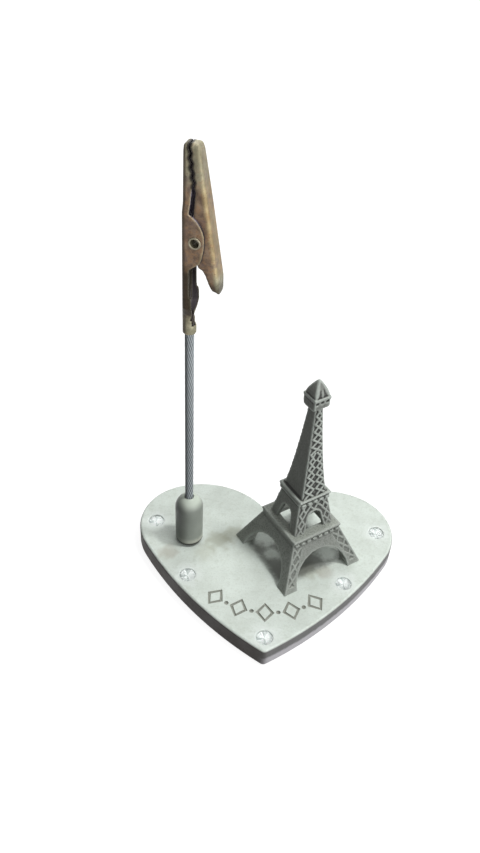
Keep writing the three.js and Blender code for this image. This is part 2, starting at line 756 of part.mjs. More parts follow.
// Zigzag edge of one jaw from the heel of the teeth up to the nose
function toothEdge(shift) {
  return Array.from({ length: 2 * toothCount + 1 }, (_, i) => {
    const height = heelRise + i * toothPitch / 2;
    const swing = (i % 2 === 0 ? -1 : 1) * toothDepth / 2;
    return new THREE.Vector2(parting(height) + shift + swing, height);
  });
}

function pivotHole() {
  const hole = cylinder(rivetRadius + runningClearance, -earHalf - overcut, earHalf + overcut, roundSides);
  return solid(hole.rotateX(Math.PI / 2));
}

// Fixed jaw: crimp, shallow tail, round ears over the lever, toothed nose
function fixedJaw() {
  const stemX = -pivotOffset;
  const far = -fixedBack - overcut;
  const shape = new THREE.Shape();
  const teeth = toothEdge(-toothGap / 2);
  const mouthTop = teeth[0].x - toothDepth / 2;
  shape.moveTo(far, crimpTop - sheet);
  shape.lineTo(tailNeckReach, crimpTop - sheet);
  shape.quadraticCurveTo(tailHumpReach, tailHumpRise - tailHumpRound, tailHumpReach, tailHumpRise);
  shape.bezierCurveTo(tailHumpReach, tailDipRise, tailReach, tailHumpRise, tailReach, tailDipRise);
  shape.lineTo(tailReach, earLowRise);
  shape.lineTo(earHeelReach, earHeelRise);
  shape.quadraticCurveTo(earReach, earHeelRise / 2, earReach, earWidestRise);
  shape.quadraticCurveTo(earReach, earBendRise, mouthTop - mouthLean, earTopRise);
  shape.lineTo(mouthTop, heelRise - toothPitch / 2);
  for (const tooth of teeth) shape.lineTo(tooth.x, tooth.y);
  shape.lineTo(partingReach - noseGap / 2, noseRise);
  shape.lineTo(noseRadius - fixedBack, noseRise);
  shape.quadraticCurveTo(-fixedBack, noseRise, -fixedBack, noseRise - noseRadius);
  shape.lineTo(far, noseRise - noseRadius);
  const neck = { back: stemX - crimpRadius, half: crimpRadius, corner: crimpRadius - bendFlat };
  const ears = { back: -fixedBack, half: earHalf, corner: bendRadius };
  const { outer, inner } = channel([
    { ...neck, height: crimpTop - sheet, shift: -overcut },
    { ...neck, height: crimpTop + ropeStickOut },
    { ...ears, height: tailHumpRise },
    { ...ears, height: earTopRise },
    { ...ears, height: earTopRise + joggleLength, half: jawWidth / 2 },
    ...noseStations(() => -fixedBack),
  ], 1);
  const barrel = solid(cylinder(crimpRadius, -pivotRise, crimpTop).translate(stemX, 0, 0));
  const bore = solid(cylinder(crimpBore, -pivotRise - overcut, crimpTop + sheet).translate(stemX, 0, 0));
  const seam = solid(box(2 * crimpRadius, crimpSeam, -pivotRise - overcut, crimpTop + overcut)
    .translate(stemX + crimpRadius, 0, 0));
  const blank = outer.intersect(solid(through(shape, 2 * earHalf + overcut))).add(barrel);
  return piece('fixed_jaw', cut(blank, [inner, bore, seam, pivotHole()]), 0x8a745a, 0.45, 0.8);
}

// Lever jaw: toothed nose, ears between those of the fixed jaw, thumb tongue
function leverJaw() {
  const shape = new THREE.Shape();
  const teeth = toothEdge(toothGap / 2).reverse();
  const heel = teeth[teeth.length - 1];
  const mouthTop = heel.x - toothDepth / 2 - toothGap + mouthWidth;
  const far = leverBackAt(leverTipRise) + overcut;
  const noseBack = leverBackAt(noseRise);
  shape.moveTo(far, leverTipRise);
  shape.lineTo(far, noseRise - noseRadius);
  shape.lineTo(noseBack, noseRise - noseRadius);
  shape.quadraticCurveTo(noseBack, noseRise, noseBack - noseRadius, noseRise);
  shape.lineTo(partingReach + noseGap / 2, noseRise);
  for (const tooth of teeth) shape.lineTo(tooth.x, tooth.y);
  shape.lineTo(mouthTop, heelRise - toothPitch / 2);
  shape.lineTo(mouthTop - mouthLean, earTopRise);
  shape.lineTo(-leverEarRadius, leverEarTop);
  shape.absarc(0, 0, leverEarRadius, Math.PI, leverEarEnd, false);
  shape.lineTo(leverHeelReach, leverHeelRise);
  const tongue = leverBackAt(leverFlangeEnd) - sheet;
  const bend = tongue - thumbHollow;
  shape.bezierCurveTo(bend, leverHeelRise, bend, leverFlangeEnd, tongue, leverFlangeEnd);
  shape.lineTo(tongue, leverTipRise);
  const half = jawWidth / 2;
  const station = (height, shift) => ({ height, back: leverBackAt(height), half, corner: bendRadius, shift });
  const { outer, inner } = channel([
    station(leverTipRise, -overcut),
    station(thumbCurlRise, 0),
    station(earTopRise + joggleLength, 0),
    ...noseStations(leverBackAt),
  ], -1);
  const tip = new THREE.Shape();
  const tipCorner = half - thumbRadius;
  tip.absarc(-tipCorner, leverTipRise + thumbRadius, thumbRadius, Math.PI, 1.5 * Math.PI, false);
  tip.absarc(tipCorner, leverTipRise + thumbRadius, thumbRadius, 1.5 * Math.PI, 2 * Math.PI, false);
  tip.lineTo(half, noseRise);
  tip.lineTo(-half, noseRise);
  const width = 2 * far + overcut;
  const side = solid(through(shape, jawWidth + overcut));
  const blank = outer.intersect(side).intersect(solid(across(tip, width)));
  return piece('lever_jaw', cut(blank, [inner, pivotHole()]), 0x94805e, 0.42, 0.8);
}

// Hollow rivet with a rolled flange at each end
function pivotRivet() {
  const face = earHalf + glueFilm;
  const end = face + rivetFlangeHeight;
  const body = turned([
    [rivetBore, -end],
    [rivetFlangeRadius, -end],
    [rivetFlangeRadius, -face],
    [rivetRadius, -face],
    [rivetRadius, face],
    [rivetFlangeRadius, face],
    [rivetFlangeRadius, end],
    [rivetBore, end],
    [rivetBore, -end],
  ]).rotateX(Math.PI / 2);
  return piece('pivot_rivet', solid(body), 0xa59a80, 0.35, 0.85);
}

// Torsion spring: two legs and a coil round the rivet, one unbroken wire
const coilRadius = rivetRadius + springClearance + springWire / 2;

function springPath() {
  const sweep = springFullTurns * 2 * Math.PI + springFixedAngle - springLeverAngle;
  const steps = Math.round(sweep / (2 * Math.PI) * springStepsPerTurn);
  const coilWidth = springPitch * sweep / (2 * Math.PI);
  const coil = Array.from({ length: steps + 1 }, (_, i) => {
    const angle = springFixedAngle - sweep * i / steps;
    const across = coilWidth * (i / steps - 0.5);
    return new THREE.Vector3(coilRadius * Math.cos(angle), across, coilRadius * Math.sin(angle));
  });
  const leg = (end, angle, way) => {
    const along = new THREE.Vector3(Math.sin(angle), 0, -Math.cos(angle)).multiplyScalar(way * springLeg);
    return end.clone().add(along);
  };
  return [leg(coil[0], springFixedAngle, -1), ...coil, leg(coil[steps], springLeverAngle, 1)];
}

// Round wire along a path, square to it at every point
function wire(path, diameter) {
  const sides = 6;
  const axis = new THREE.Vector3(0, 1, 0);
  const rings = path.map((point, i) => {
    const before = path[Math.max(0, i - 1)];
    const after = path[Math.min(path.length - 1, i + 1)];
    const along = after.clone().sub(before).normalize();
    const outward = new THREE.Vector3().crossVectors(axis, along).normalize();
    const upward = new THREE.Vector3().crossVectors(along, outward);
    return Array.from({ length: sides }, (_, side) => {
      const angle = side / sides * 2 * Math.PI;
      const offset = outward.clone().multiplyScalar(Math.cos(angle));
      offset.addScaledVector(upward, Math.sin(angle));
      return point.clone().addScaledVector(offset, diameter / 2);
    });
  });
  return skin(rings);
}

// Least gap between turns: points at least half a turn apart along the path
function leastGap(path, diameter) {
  const apart = springStepsPerTurn / 2;
  let least = Infinity;
  for (let i = 0; i < path.length; i += 1) {
    for (let j = i + apart; j < path.length; j += 1) {
      least = Math.min(least, path[i].distanceTo(path[j]));
    }
  }
  return least - diameter;
}

function torsionSpring() {
  const path = springPath();
  const gap = leastGap(path, springWire);
  console.log(`torsion_spring: least gap between turns ${gap.toFixed(2)} mm`);
  return piece('torsion_spring', solid(wire(path, springWire)), 0x9aa0a4, 0.3, 0.9);
}

// Assembly
const holder = new THREE.Group();
holder.add(heartPlate());
for (const [name, place] of Object.entries(stonePlaces())) holder.add(stone(name, place));
holder.add(latticeTower());

const stem = new THREE.Group();
stem.position.set(stemPlace.x, stemPlace.y, plateThickness + glueFilm);
stem.add(ferrule(), ropeCore());
for (let number = 1; number <= strandCount; number += 1) stem.add(ropeStrand(number));
holder.add(stem);

const screw = ferruleScrew();
screw.position.set(stemPlace.x, stemPlace.y, 0);
holder.add(screw);

const clipStand = new THREE.Group();
clipStand.position.set(stemPlace.x, stemPlace.y, plateThickness + glueFilm + stemHeight + pivotRise);
clipStand.rotation.z = clipTurn;
const clip = new THREE.Group();
clip.position.x = pivotOffset;
clip.add(fixedJaw(), leverJaw(), pivotRivet(), torsionSpring());
clipStand.add(clip);
holder.add(clipStand);

export default holder;
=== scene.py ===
"""Looks of the memo holder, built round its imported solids, in metres and in their frame."""
import math

import bmesh
import bpy
import numpy as np
from mathutils import Matrix, Vector
from mathutils.bvhtree import BVHTree


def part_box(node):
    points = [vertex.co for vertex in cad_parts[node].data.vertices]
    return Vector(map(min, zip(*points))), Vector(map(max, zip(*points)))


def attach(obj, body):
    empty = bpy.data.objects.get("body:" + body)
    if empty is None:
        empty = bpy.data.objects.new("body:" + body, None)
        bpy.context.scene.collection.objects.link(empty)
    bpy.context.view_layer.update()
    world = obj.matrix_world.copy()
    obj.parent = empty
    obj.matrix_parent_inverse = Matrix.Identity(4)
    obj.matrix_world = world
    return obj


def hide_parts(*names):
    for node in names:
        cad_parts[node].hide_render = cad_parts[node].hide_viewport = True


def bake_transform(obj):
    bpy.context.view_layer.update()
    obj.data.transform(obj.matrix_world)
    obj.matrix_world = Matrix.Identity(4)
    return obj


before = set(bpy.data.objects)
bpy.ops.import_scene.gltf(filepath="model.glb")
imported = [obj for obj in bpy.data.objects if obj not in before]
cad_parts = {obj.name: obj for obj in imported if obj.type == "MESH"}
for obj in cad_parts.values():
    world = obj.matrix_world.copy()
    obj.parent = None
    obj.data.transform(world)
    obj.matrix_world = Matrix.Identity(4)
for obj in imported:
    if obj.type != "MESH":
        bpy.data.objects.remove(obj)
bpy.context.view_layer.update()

MM = 0.001
FULL_TURN = 2 * math.pi
UP = (0, 0, 1)

# Heart plate, in millimetres like all sizes here
PLATE_WIDTH = 60.0
PLATE_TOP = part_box("heart_plate")[1].z / MM
PLATE_EDGE = 0.6
CROWN_RADIUS = 18.2
SHOULDER_RADIUS = 12.8
FLANK_RADIUS = 87.0
CROWN_END = math.radians(66)
FLANK_START = math.radians(-32)
TIP_RADIUS = 1.2
NOTCH_RADIUS = 0.8
OUTLINE_STEP = 0.45
FEWEST_STEPS = 6
EDGE_STEPS = 6

# Set stones, cut by shares of their width and height, and their seats
STONE_PLACES = ("shoulder_right", "shoulder_left", "flank_right", "flank_left", "tip")
STONE_SIDES = 8
GIRDLE_SHARE = 0.62
TABLE_SHARE = 0.56
KITE_SHARE = 0.8
KITE_RISE = 0.62
GIRDLE_BAND = 0.1
FACET_STEP = 0.381966
SEAT_PLAY = 0.03
SEAT_DEPTH = 1.1
SEAT_RIM = 0.4
SEAT_FALL = 0.14
SEAT_ABOVE = 1.0

# Engraved row of lozenges and dots near the plate's tip
ROW_CENTRE = (0.0, 4.9)
ROW_RADIUS = 19.0
ROW_SWEEP = math.radians(70)
ROW_MARKS = 5
LOZENGE_LENGTH = 4.2
LOZENGE_WIDTH = 3.3
DOT_WIDTH = 1.0
STROKE = 0.8
STROKE_SIDES = 12

# Wire rope: one wire, six round it and twelve round those
WIRE_RADIUS = 0.175
WIRE_GAP = 0.03
WIRE_SIDES = 8
LAY_LENGTH = 18.5
ROPE_STEPS = 120
OUTER_WIRES = 12

# Tower, with half widths and heights of the hollow in its first storey
TOWER_TURN = math.radians(33.7)
TOWER_FOOT = 20.6
TOWER_REACH = 60.0
GALLERY_TOP = 16.105
LEG_HOLLOW = ((6.7, 10.6), (5.9, 14.4), (3.9, 14.6), (3.9, 16.6))

# Clip and its spring
CLIP_TURN = math.radians(-15)
SPRING_WIRE = 0.4
COIL_RADIUS = 1.45
COIL_PITCH = 0.86
COIL_TURNS = 2
COIL_STEPS = 96
SPRING_LEG = 4.2
FIXED_LEG = math.radians(176)
LEVER_LEG = math.radians(20)

# Softened edges of castings and pressings, with voxels that keep each piece under 200,000 triangles
LEGS_VOXEL = 0.13
SPIRE_VOXEL = 0.125
JAW_VOXEL = 0.1
SWELL = 0.06

# Camera, from the fitted view of a picture 480 by 853
IMAGE_HEIGHT = 853
FOCAL_PIXELS = 801.18
SENSOR = 36.0
CAMERA_PLACE = (-7.53, -118.0, 147.76)
CAMERA_AZIMUTH = math.radians(-0.036)
CAMERA_PITCH = math.radians(41.01)
CAMERA_ROLL = math.radians(3.235)

# Lamps: way from the object, distance and size in metres, and light level
LAMPS = (
    ("overhead", (0.1, 0.0, 1.0), 0.7, 0.6, 0.24),
    ("back", (0.1, 0.8, 0.6), 0.7, 0.5, 0.3),
    ("key", (0.36, -0.03, 0.93), 0.6, 0.07, 0.46),
    ("fill", (0.72, -0.65, 0.25), 0.6, 0.35, 0.56),
)
LAMP_AIM = (0, 0, 0.03)
AMBIENT = 0.13

# Floor, in metres: its half width, and how it whitens away from the object
FLOOR_REACH = 3.0
FLOOR_NEAR = 0.1
FLOOR_FAR = 0.5
NEAR_WHITE = 0.88
FLOOR_DULL = (0.14, 0.14, 0.14, 1)
FLOOR_SHADED = (0.3, 0.3, 0.3, 1)
WHITE = (1, 1, 1, 1)

# Colours of the plate
PEWTER_DULL = (0.64, 0.7, 0.64, 1)
PEWTER_PALE = (0.72, 0.79, 0.73, 1)
PEWTER_SPECK = (0.4, 0.43, 0.37, 1)
PEWTER_MOTTLE = (0.5, 0.55, 0.47, 1)
OLIVE = (0.36, 0.37, 0.27, 1)
BROWN = (0.4, 0.37, 0.3, 1)
# Painted shadow under the tower
PAINTED_SHADOW_GREY = (0.11, 0.113, 0.1, 1)
HAZE = (0.82, 0.88, 0.84, 1)
# Walls in painted shade, with a painted reflection at their foot and painted shade darkest on the left
WALL_SHADE = (0.15, 0.15, 0.148, 1)
WALL_PAINTED_REFLECTION = (0.55, 0.54, 0.565, 1)
LEFT_WALL_SHADE = (0.05, 0.044, 0.04, 1)
RIM_DULL = (0.62, 0.68, 0.63, 1)
RIM_PALE = (0.84, 0.9, 0.86, 1)
PATINA_DARK = (0.27, 0.28, 0.24, 1)
PATINA_PALE = (0.42, 0.44, 0.39, 1)

# Stains on the plate, some of them partly painted shadow: place, reach, colour and weight
STAINS_AND_SHADOWS = (
    # The first three olive spots lie on the streak where the spire's shadow falls: partly a stain, partly
    # painted shadow
    ((-11.2, 5.5, PLATE_TOP), 4.0, OLIVE, 0.55),
    ((-7.6, 7.6, PLATE_TOP), 3.4, OLIVE, 0.5),
    ((-14.0, 1.7, PLATE_TOP), 3.6, OLIVE, 0.35),
    # This brown spot left of the ferrule is partly a stain, partly painted shadow of the ferrule
    ((-22.4, 1.0, PLATE_TOP), 3.0, BROWN, 0.5),
    ((9.6, -1.9, PLATE_TOP), 3.4, OLIVE, 0.5),
    ((13.4, -2.2, PLATE_TOP), 2.8, BROWN, 0.4),
)
SPOT_RAGGEDNESS = 1.3
HAZE_REACH = 4.6
HAZE_WEIGHT = 0.6

# Painted shadow under the tower: how far it is set back, and how far past and within the feet it fades
SHADOW_SHIFT = 1.4
SHADOW_OUTSIDE = 0.4
SHADOW_INSIDE = 1.4
SHADOW_WEIGHT = 0.8

# Painted pools of light in the painted shadow under the tower, where light comes in under its arches, and
# their reach
LIT_PATCHES = ((-0.4, 6.9, 3.6), (1.2, 2.4, 2.6), (14.0, 3.6, 3.6), (4.0, 15.4, 4.5), (12.0, 14.4, 5.0))
LIT_WEIGHT = 0.85

# Colours of the tower
TOWER_DARK = (0.18, 0.188, 0.172, 1)
TOWER_GREY = (0.28, 0.293, 0.267, 1)
LEG_DARK = (0.22, 0.235, 0.213, 1)
LEG_GREY = (0.32, 0.342, 0.31, 1)
# Painted light on the tower's upward faces
LIT_TOP_GREY = (0.37, 0.4, 0.35, 1)
TOWER_DUST = (0.12, 0.125, 0.114, 1)
HOLLOW_BLACK = (0.04, 0.041, 0.038, 1)
RUBBED_PEWTER = (0.4, 0.435, 0.4, 1)

# Colours of the stem, and the way the ferrule's side in painted shade faces
NICKEL_DARK = (0.21, 0.23, 0.205, 1)
NICKEL_PALE = (0.3, 0.325, 0.29, 1)
# Painted highlight on the dome
NICKEL_HIGHLIGHT = (0.54, 0.6, 0.52, 1)
# Painted shade on the side away from the light
NICKEL_SIDE_SHADE = (0.07, 0.078, 0.07, 1)
FOOT_BAND_PALE = (0.46, 0.47, 0.405, 1)
# Painted contact shadow round the foot
FOOT_CONTACT_SHADE = (0.022, 0.022, 0.019, 1)
SHADED_SIDE = (-0.9, -0.44, 0)
WIRE_DARK = (0.3, 0.335, 0.355, 1)
WIRE_PALE = (0.58, 0.635, 0.665, 1)
WIRE_BRIGHT = (0.72, 0.78, 0.81, 1)
# Painted shade on the rope's left side and between its wires
WIRE_LEFT_SHADE = (0.06, 0.066, 0.07, 1)
WIRE_CREVICE_SHADE = (0.035, 0.038, 0.042, 1)
WIRE_CRIMP_DARK = (0.07, 0.055, 0.045, 1)
STEEL_DARK = (0.24, 0.24, 0.24, 1)
STEEL_PALE = (0.4, 0.4, 0.39, 1)

# Colours of the clip
FLAT_DARK = (0.17, 0.115, 0.08, 1)
FLAT_PALE = (0.37, 0.265, 0.18, 1)
# Painted highlight along the bend
BEND_HIGHLIGHT_DARK = (0.33, 0.25, 0.13, 1)
BEND_HIGHLIGHT_PALE = (0.54, 0.44, 0.25, 1)
END_DARK = (0.26, 0.25, 0.17, 1)
END_PALE = (0.45, 0.435, 0.305, 1)
THUMB_DARK = (0.3, 0.28, 0.19, 1)
THUMB_PALE = (0.5, 0.48, 0.34, 1)
# Painted shade on faces that turn fully across
BACK_SHADE_BROWN = (0.2, 0.165, 0.11, 1)
RUST = (0.37, 0.2, 0.095, 1)
VIOLET_BLOOM = (0.19, 0.135, 0.125, 1)
BRASS_SPECK = (0.11, 0.075, 0.05, 1)
WORN_BRASS = (0.48, 0.43, 0.3, 1)
# Painted shade on the spine and at the lever's tip, and painted shadow in the tail
SPINE_SHADE = (0.06, 0.045, 0.03, 1)
TAIL_SHADOW = (0.028, 0.02, 0.011, 1)
TIP_SHADE_DARK = (0.05, 0.04, 0.025, 1)
# Lining of shut-in places, with painted shade below the pivot
LINING_SHADE = (0.12, 0.105, 0.115, 1)
LINING_PALE = (0.5, 0.46, 0.53, 1)
# Painted shade between the teeth
TEETH_GAP_SHADE = (0.02, 0.017, 0.014, 1)
EYELET_DARK = (0.14, 0.115, 0.075, 1)
EYELET_PALE = (0.52, 0.48, 0.35, 1)
# Painted shade in the rivet's bore
EYELET_SHADED_BORE = (0.2, 0.19, 0.125, 1)

# Colours of the stones
GLASS_CLEAR = (0.98, 1.0, 1.0, 1)
FOIL_DARK = (0.4, 0.44, 0.43, 1)
FOIL_PALE = (0.58, 0.63, 0.61, 1)
# Painted glints on some facets
FOIL_PAINTED_GLINT = (0.96, 0.99, 0.97, 1)


# Node helpers
def feed(tree, socket, value):
    """Link another node's output to a socket, or set the socket's value."""
    if isinstance(value, bpy.types.NodeSocket):
        tree.links.new(value, socket)
    else:
        socket.default_value = value


def add(tree, kind, inputs=None, **settings):
    """New node with its settings and its inputs, which are values or outputs by socket."""
    node = tree.nodes.new(kind)
    for name, value in settings.items():
        setattr(node, name, value)
    for socket, value in (inputs or {}).items():
        feed(tree, node.inputs[socket], value)
    return node


def maths(tree, operation, *values):
    return add(tree, "ShaderNodeMath", dict(enumerate(values)), operation=operation).outputs[0]


def product(tree, first, second):
    return maths(tree, "MULTIPLY", first, second)


def vector_maths(tree, operation, *values):
    """Outputs of a vector operation."""
    return add(tree, "ShaderNodeVectorMath", dict(enumerate(values)), operation=operation).outputs


def along(tree, vector, direction):
    """Share of a vector along a direction."""
    return vector_maths(tree, "DOT_PRODUCT", vector, direction)["Value"]


def blend_value(tree, factor, low, high):
    return add(tree, "ShaderNodeMix", {0: factor, 2: low, 3: high}).outputs[0]


def blend_colour(tree, factor, low, high):
    return add(tree, "ShaderNodeMix", {0: factor, 6: low, 7: high}, data_type="RGBA").outputs[2]


def painted(tree, colour, *coats):
    """Colour with coats laid over it in turn, each a mask and a colour."""
    for cover, coat in coats:
        colour = blend_colour(tree, cover, colour, coat)
    return colour


def spread(tree, value, low, high, to_low, to_high):
    """Smooth step of a value from one range to another."""
    inputs = {"Value": value, "From Min": low, "From Max": high, "To Min": to_low, "To Max": to_high}
    return add(tree, "ShaderNodeMapRange", inputs, interpolation_type="SMOOTHSTEP").outputs[0]


def mask(tree, value, start, end, weight=1.0):
    """Smooth mask that is 0 where a value is at start, and its weight where it is at end."""
    return spread(tree, value, start, end, 0.0, weight)


def zone(tree, length, start, end, weight=1.0):
    """Mask over a length, between limits in millimetres."""
    return mask(tree, length, start * MM, end * MM, weight)


def noise(tree, vector, size, detail=3.0, roughness=0.5):
    """Noise whose main features are as large as size, in millimetres, a number or an output."""
    if isinstance(size, bpy.types.NodeSocket):
        scale = maths(tree, "DIVIDE", 1 / MM, size)
    else:
        scale = 1 / (size * MM)
    inputs = {"Vector": vector, "Scale": scale, "Detail": detail, "Roughness": roughness}
    return add(tree, "ShaderNodeTexNoise", inputs).outputs[0]


def ragged(tree, length, place, size, depth, roughness):
    """Length with a noise of some depth added, in millimetres."""
    return maths(tree, "MULTIPLY_ADD", noise(tree, place, size, 4.0, roughness), depth * MM, length)


def object_place(tree):
    return add(tree, "ShaderNodeTexCoord").outputs["Object"]


def object_normal(tree):
    """Facing of the surface in the piece's own frame."""
    facing = add(tree, "ShaderNodeNewGeometry").outputs["Normal"]
    settings = {"vector_type": "NORMAL", "convert_from": "WORLD", "convert_to": "OBJECT"}
    return add(tree, "ShaderNodeVectorTransform", {0: facing}, **settings).outputs[0]


def rise_from_pivot(tree, place):
    """Height over the clip's pivot."""
    return maths(tree, "SUBTRACT", along(tree, place, UP), middle("pivot_rivet").z)


def attribute(tree, name):
    return add(tree, "ShaderNodeAttribute", attribute_name=name).outputs["Fac"]


# Shared surface effects
def shader_group(name, inputs, outputs):
    """Shader node group with float or vector inputs and float outputs."""
    tree = bpy.data.node_groups.new(name, "ShaderNodeTree")
    for label, value in inputs.items():
        kind = "NodeSocketVector" if isinstance(value, tuple) else "NodeSocketFloat"
        tree.interface.new_socket(label, in_out="INPUT", socket_type=kind).default_value = value
    for label in outputs:
        tree.interface.new_socket(label, in_out="OUTPUT", socket_type="NodeSocketFloat")
    return tree, add(tree, "NodeGroupInput").outputs, add(tree, "NodeGroupOutput").inputs


def casting_grain_group():
    """Sandy skin of a cast metal: a height for bump, and a slow drift of tone."""
    tree, given, out = shader_group("casting_grain", {"Grain": 0.35, "Drift": 6.0}, ("Height", "Tone"))
    place = object_place(tree)
    feed(tree, out["Height"], noise(tree, place, given["Grain"], 4.0, 0.6))
    feed(tree, out["Tone"], noise(tree, place, given["Drift"], 5.0, 0.62))
    return tree


def ragged_spot_group():
    """Ragged spot round a place given in millimetres."""
    inputs = {"Centre": (0.0, 0.0, 0.0), "Reach": 3.0, "Ragged": 1.0}
    tree, given, out = shader_group("ragged_spot", inputs, ("Mask",))
    place = object_place(tree)
    scaled = add(tree, "ShaderNodeVectorMath", {0: place, 3: 1 / MM}, operation="SCALE").outputs[0]
    away = vector_maths(tree, "DISTANCE", scaled, given["Centre"])["Value"]
    swing = maths(tree, "SUBTRACT", noise(tree, place, 1.8, 4.0, 0.65), 0.5)
    ripple = product(tree, swing, given["Ragged"])
    share = maths(tree, "ADD", maths(tree, "DIVIDE", away, given["Reach"]), ripple)
    feed(tree, out["Mask"], mask(tree, share, 1.0, 0.25))
    return tree


def tarnish_group():
    """Patches of browning on plated sheet, with fine specks."""
    tree, given, out = shader_group("tarnish", {"Patch": 4.0, "Speck": 0.35}, ("Patches", "Specks"))
    place = object_place(tree)
    feed(tree, out["Patches"], mask(tree, noise(tree, place, given["Patch"], 6.0, 0.7), 0.36, 0.64))
    feed(tree, out["Specks"], mask(tree, noise(tree, place, given["Speck"], 3.0, 0.6), 0.52, 0.72))
    return tree


GRAIN = casting_grain_group()
RAGGED_SPOT = ragged_spot_group()
TARNISH = tarnish_group()


def effect(tree, group, **inputs):
    """Outputs of a shared effect with a material's own values."""
    named = {label.capitalize(): value for label, value in inputs.items()}
    return add(tree, "ShaderNodeGroup", named, node_tree=group).outputs


def new_material(name):
    material = bpy.data.materials.new(name)
    material.use_nodes = True
    return material, material.node_tree


def surface(material, inputs):
    """Feed a material's shader by the names of its inputs."""
    tree = material.node_tree
    shader = tree.nodes["Principled BSDF"]
    for label, value in inputs.items():
        feed(tree, shader.inputs[label], value)
    return material


def bump(tree, height, depth):
    """Bump normal from a height of 0 to 1 that stands for a depth in millimetres."""
    inputs = {"Height": height, "Strength": 1.0, "Distance": depth * MM}
    return add(tree, "ShaderNodeBump", inputs).outputs[0]


# Materials of the plate
def tower_shadow(tree, place):
    """Mask of painted shadow on the plate between the tower's feet, with painted pools of light in it."""
    centre = middle("lattice_tower")
    offsets = []
    for turn, shift in ((TOWER_TURN, 0.0), (TOWER_TURN + math.pi / 2, SHADOW_SHIFT * MM)):
        way = Vector((math.cos(turn), math.sin(turn), 0))
        offset = maths(tree, "SUBTRACT", along(tree, place, tuple(way)), centre.dot(way) + shift)
        offsets.append(maths(tree, "ABSOLUTE", offset))
    farther = maths(tree, "MAXIMUM", *offsets)
    reach = ragged(tree, farther, place, size=1.4, depth=1.6, roughness=0.65)
    edge = TOWER_FOOT / 2
    under_shadow = zone(tree, reach, edge + SHADOW_OUTSIDE, edge - SHADOW_INSIDE, SHADOW_WEIGHT)
    # Painted pools of light in the painted shadow
    for x, y, width in LIT_PATCHES:
        lit_patch = effect(tree, RAGGED_SPOT, centre=(x, y, PLATE_TOP), reach=width, ragged=1.0)["Mask"]
        under_shadow = product(tree, under_shadow, maths(tree, "MULTIPLY_ADD", lit_patch, -LIT_WEIGHT, 1.0))
    return under_shadow


def plate_face(tree, place, tone):
    """Pale, slightly green face with specks, olive and brown stains of which some are partly painted
    shadow, haze round the stones, and painted shadow under the tower.
    """
    specks = mask(tree, noise(tree, place, 0.45, 4.0, 0.7), 0.48, 0.72, 0.3)
    mottle = mask(tree, noise(tree, place, 1.3, 3.0, 0.6), 0.5, 0.7, 0.3)
    coats = [(specks, PEWTER_SPECK), (mottle, PEWTER_MOTTLE)]
    haze = [(tuple(middle("stone_" + name) / MM), HAZE_REACH, HAZE, HAZE_WEIGHT) for name in STONE_PLACES]
    for centre, reach, colour, weight in (*STAINS_AND_SHADOWS, *haze):
        spot = effect(tree, RAGGED_SPOT, centre=centre, reach=reach, ragged=SPOT_RAGGEDNESS)["Mask"]
        coats.append((product(tree, spot, weight), colour))
    # Painted shadow under the tower
    coats.append((tower_shadow(tree, place), PAINTED_SHADOW_GREY))
    return painted(tree, blend_colour(tree, tone, PEWTER_DULL, PEWTER_PALE), *coats)


def painted_wall_shade(tree, place):
    """Walls painted dark as shade, with a painted reflection pale at their foot and painted shade darkest
    on the left.
    """
    height = ragged(tree, along(tree, place, UP), place, size=1.5, depth=1.2, roughness=0.7)
    foot = zone(tree, height, 3.5, 2.5)
    left = zone(tree, along(tree, place, (1, 0, 0)), 1.5, -1.5)
    return painted(tree, WALL_SHADE, (foot, WALL_PAINTED_REFLECTION), (left, LEFT_WALL_SHADE))


def plate_pewter():
    """Matte cast pewter with a pale face, and walls painted dark as shade."""
    material, tree = new_material("plate_pewter")
    place = object_place(tree)
    grain = effect(tree, GRAIN, grain=0.3, drift=5.0)
    tone = mask(tree, grain["Tone"], 0.3, 0.7)
    # Upward faces take the face's colour, the walls their painted shade
    upward = mask(tree, along(tree, object_normal(tree), UP), 0.25, 0.9)
    return surface(material, {
        "Base Color": blend_colour(tree, upward, painted_wall_shade(tree, place), plate_face(tree, place, tone)),
        "Roughness": blend_value(tree, tone, 0.62, 0.5),
        "Specular IOR Level": 0.25,
        "Normal": bump(tree, grain["Height"], 0.03),
    })


def seat_rim():
    """Bright cut pewter round the stones."""
    material, tree = new_material("seat_rim")
    cloud = noise(tree, object_place(tree), 0.6, 3.0, 0.6)
    return surface(material, {
        "Base Color": blend_colour(tree, cloud, RIM_DULL, RIM_PALE),
        "Roughness": 0.45,
    })


def engraved_patina():
    """Dark deposit in the engraved strokes."""
    material, tree = new_material("engraved_patina")
    cloud = noise(tree, object_place(tree), 0.8, 4.0, 0.65)
    return surface(material, {
        "Base Color": blend_colour(tree, cloud, PATINA_DARK, PATINA_PALE),
        "Roughness": 0.7,
        "Specular IOR Level": 0.2,
    })


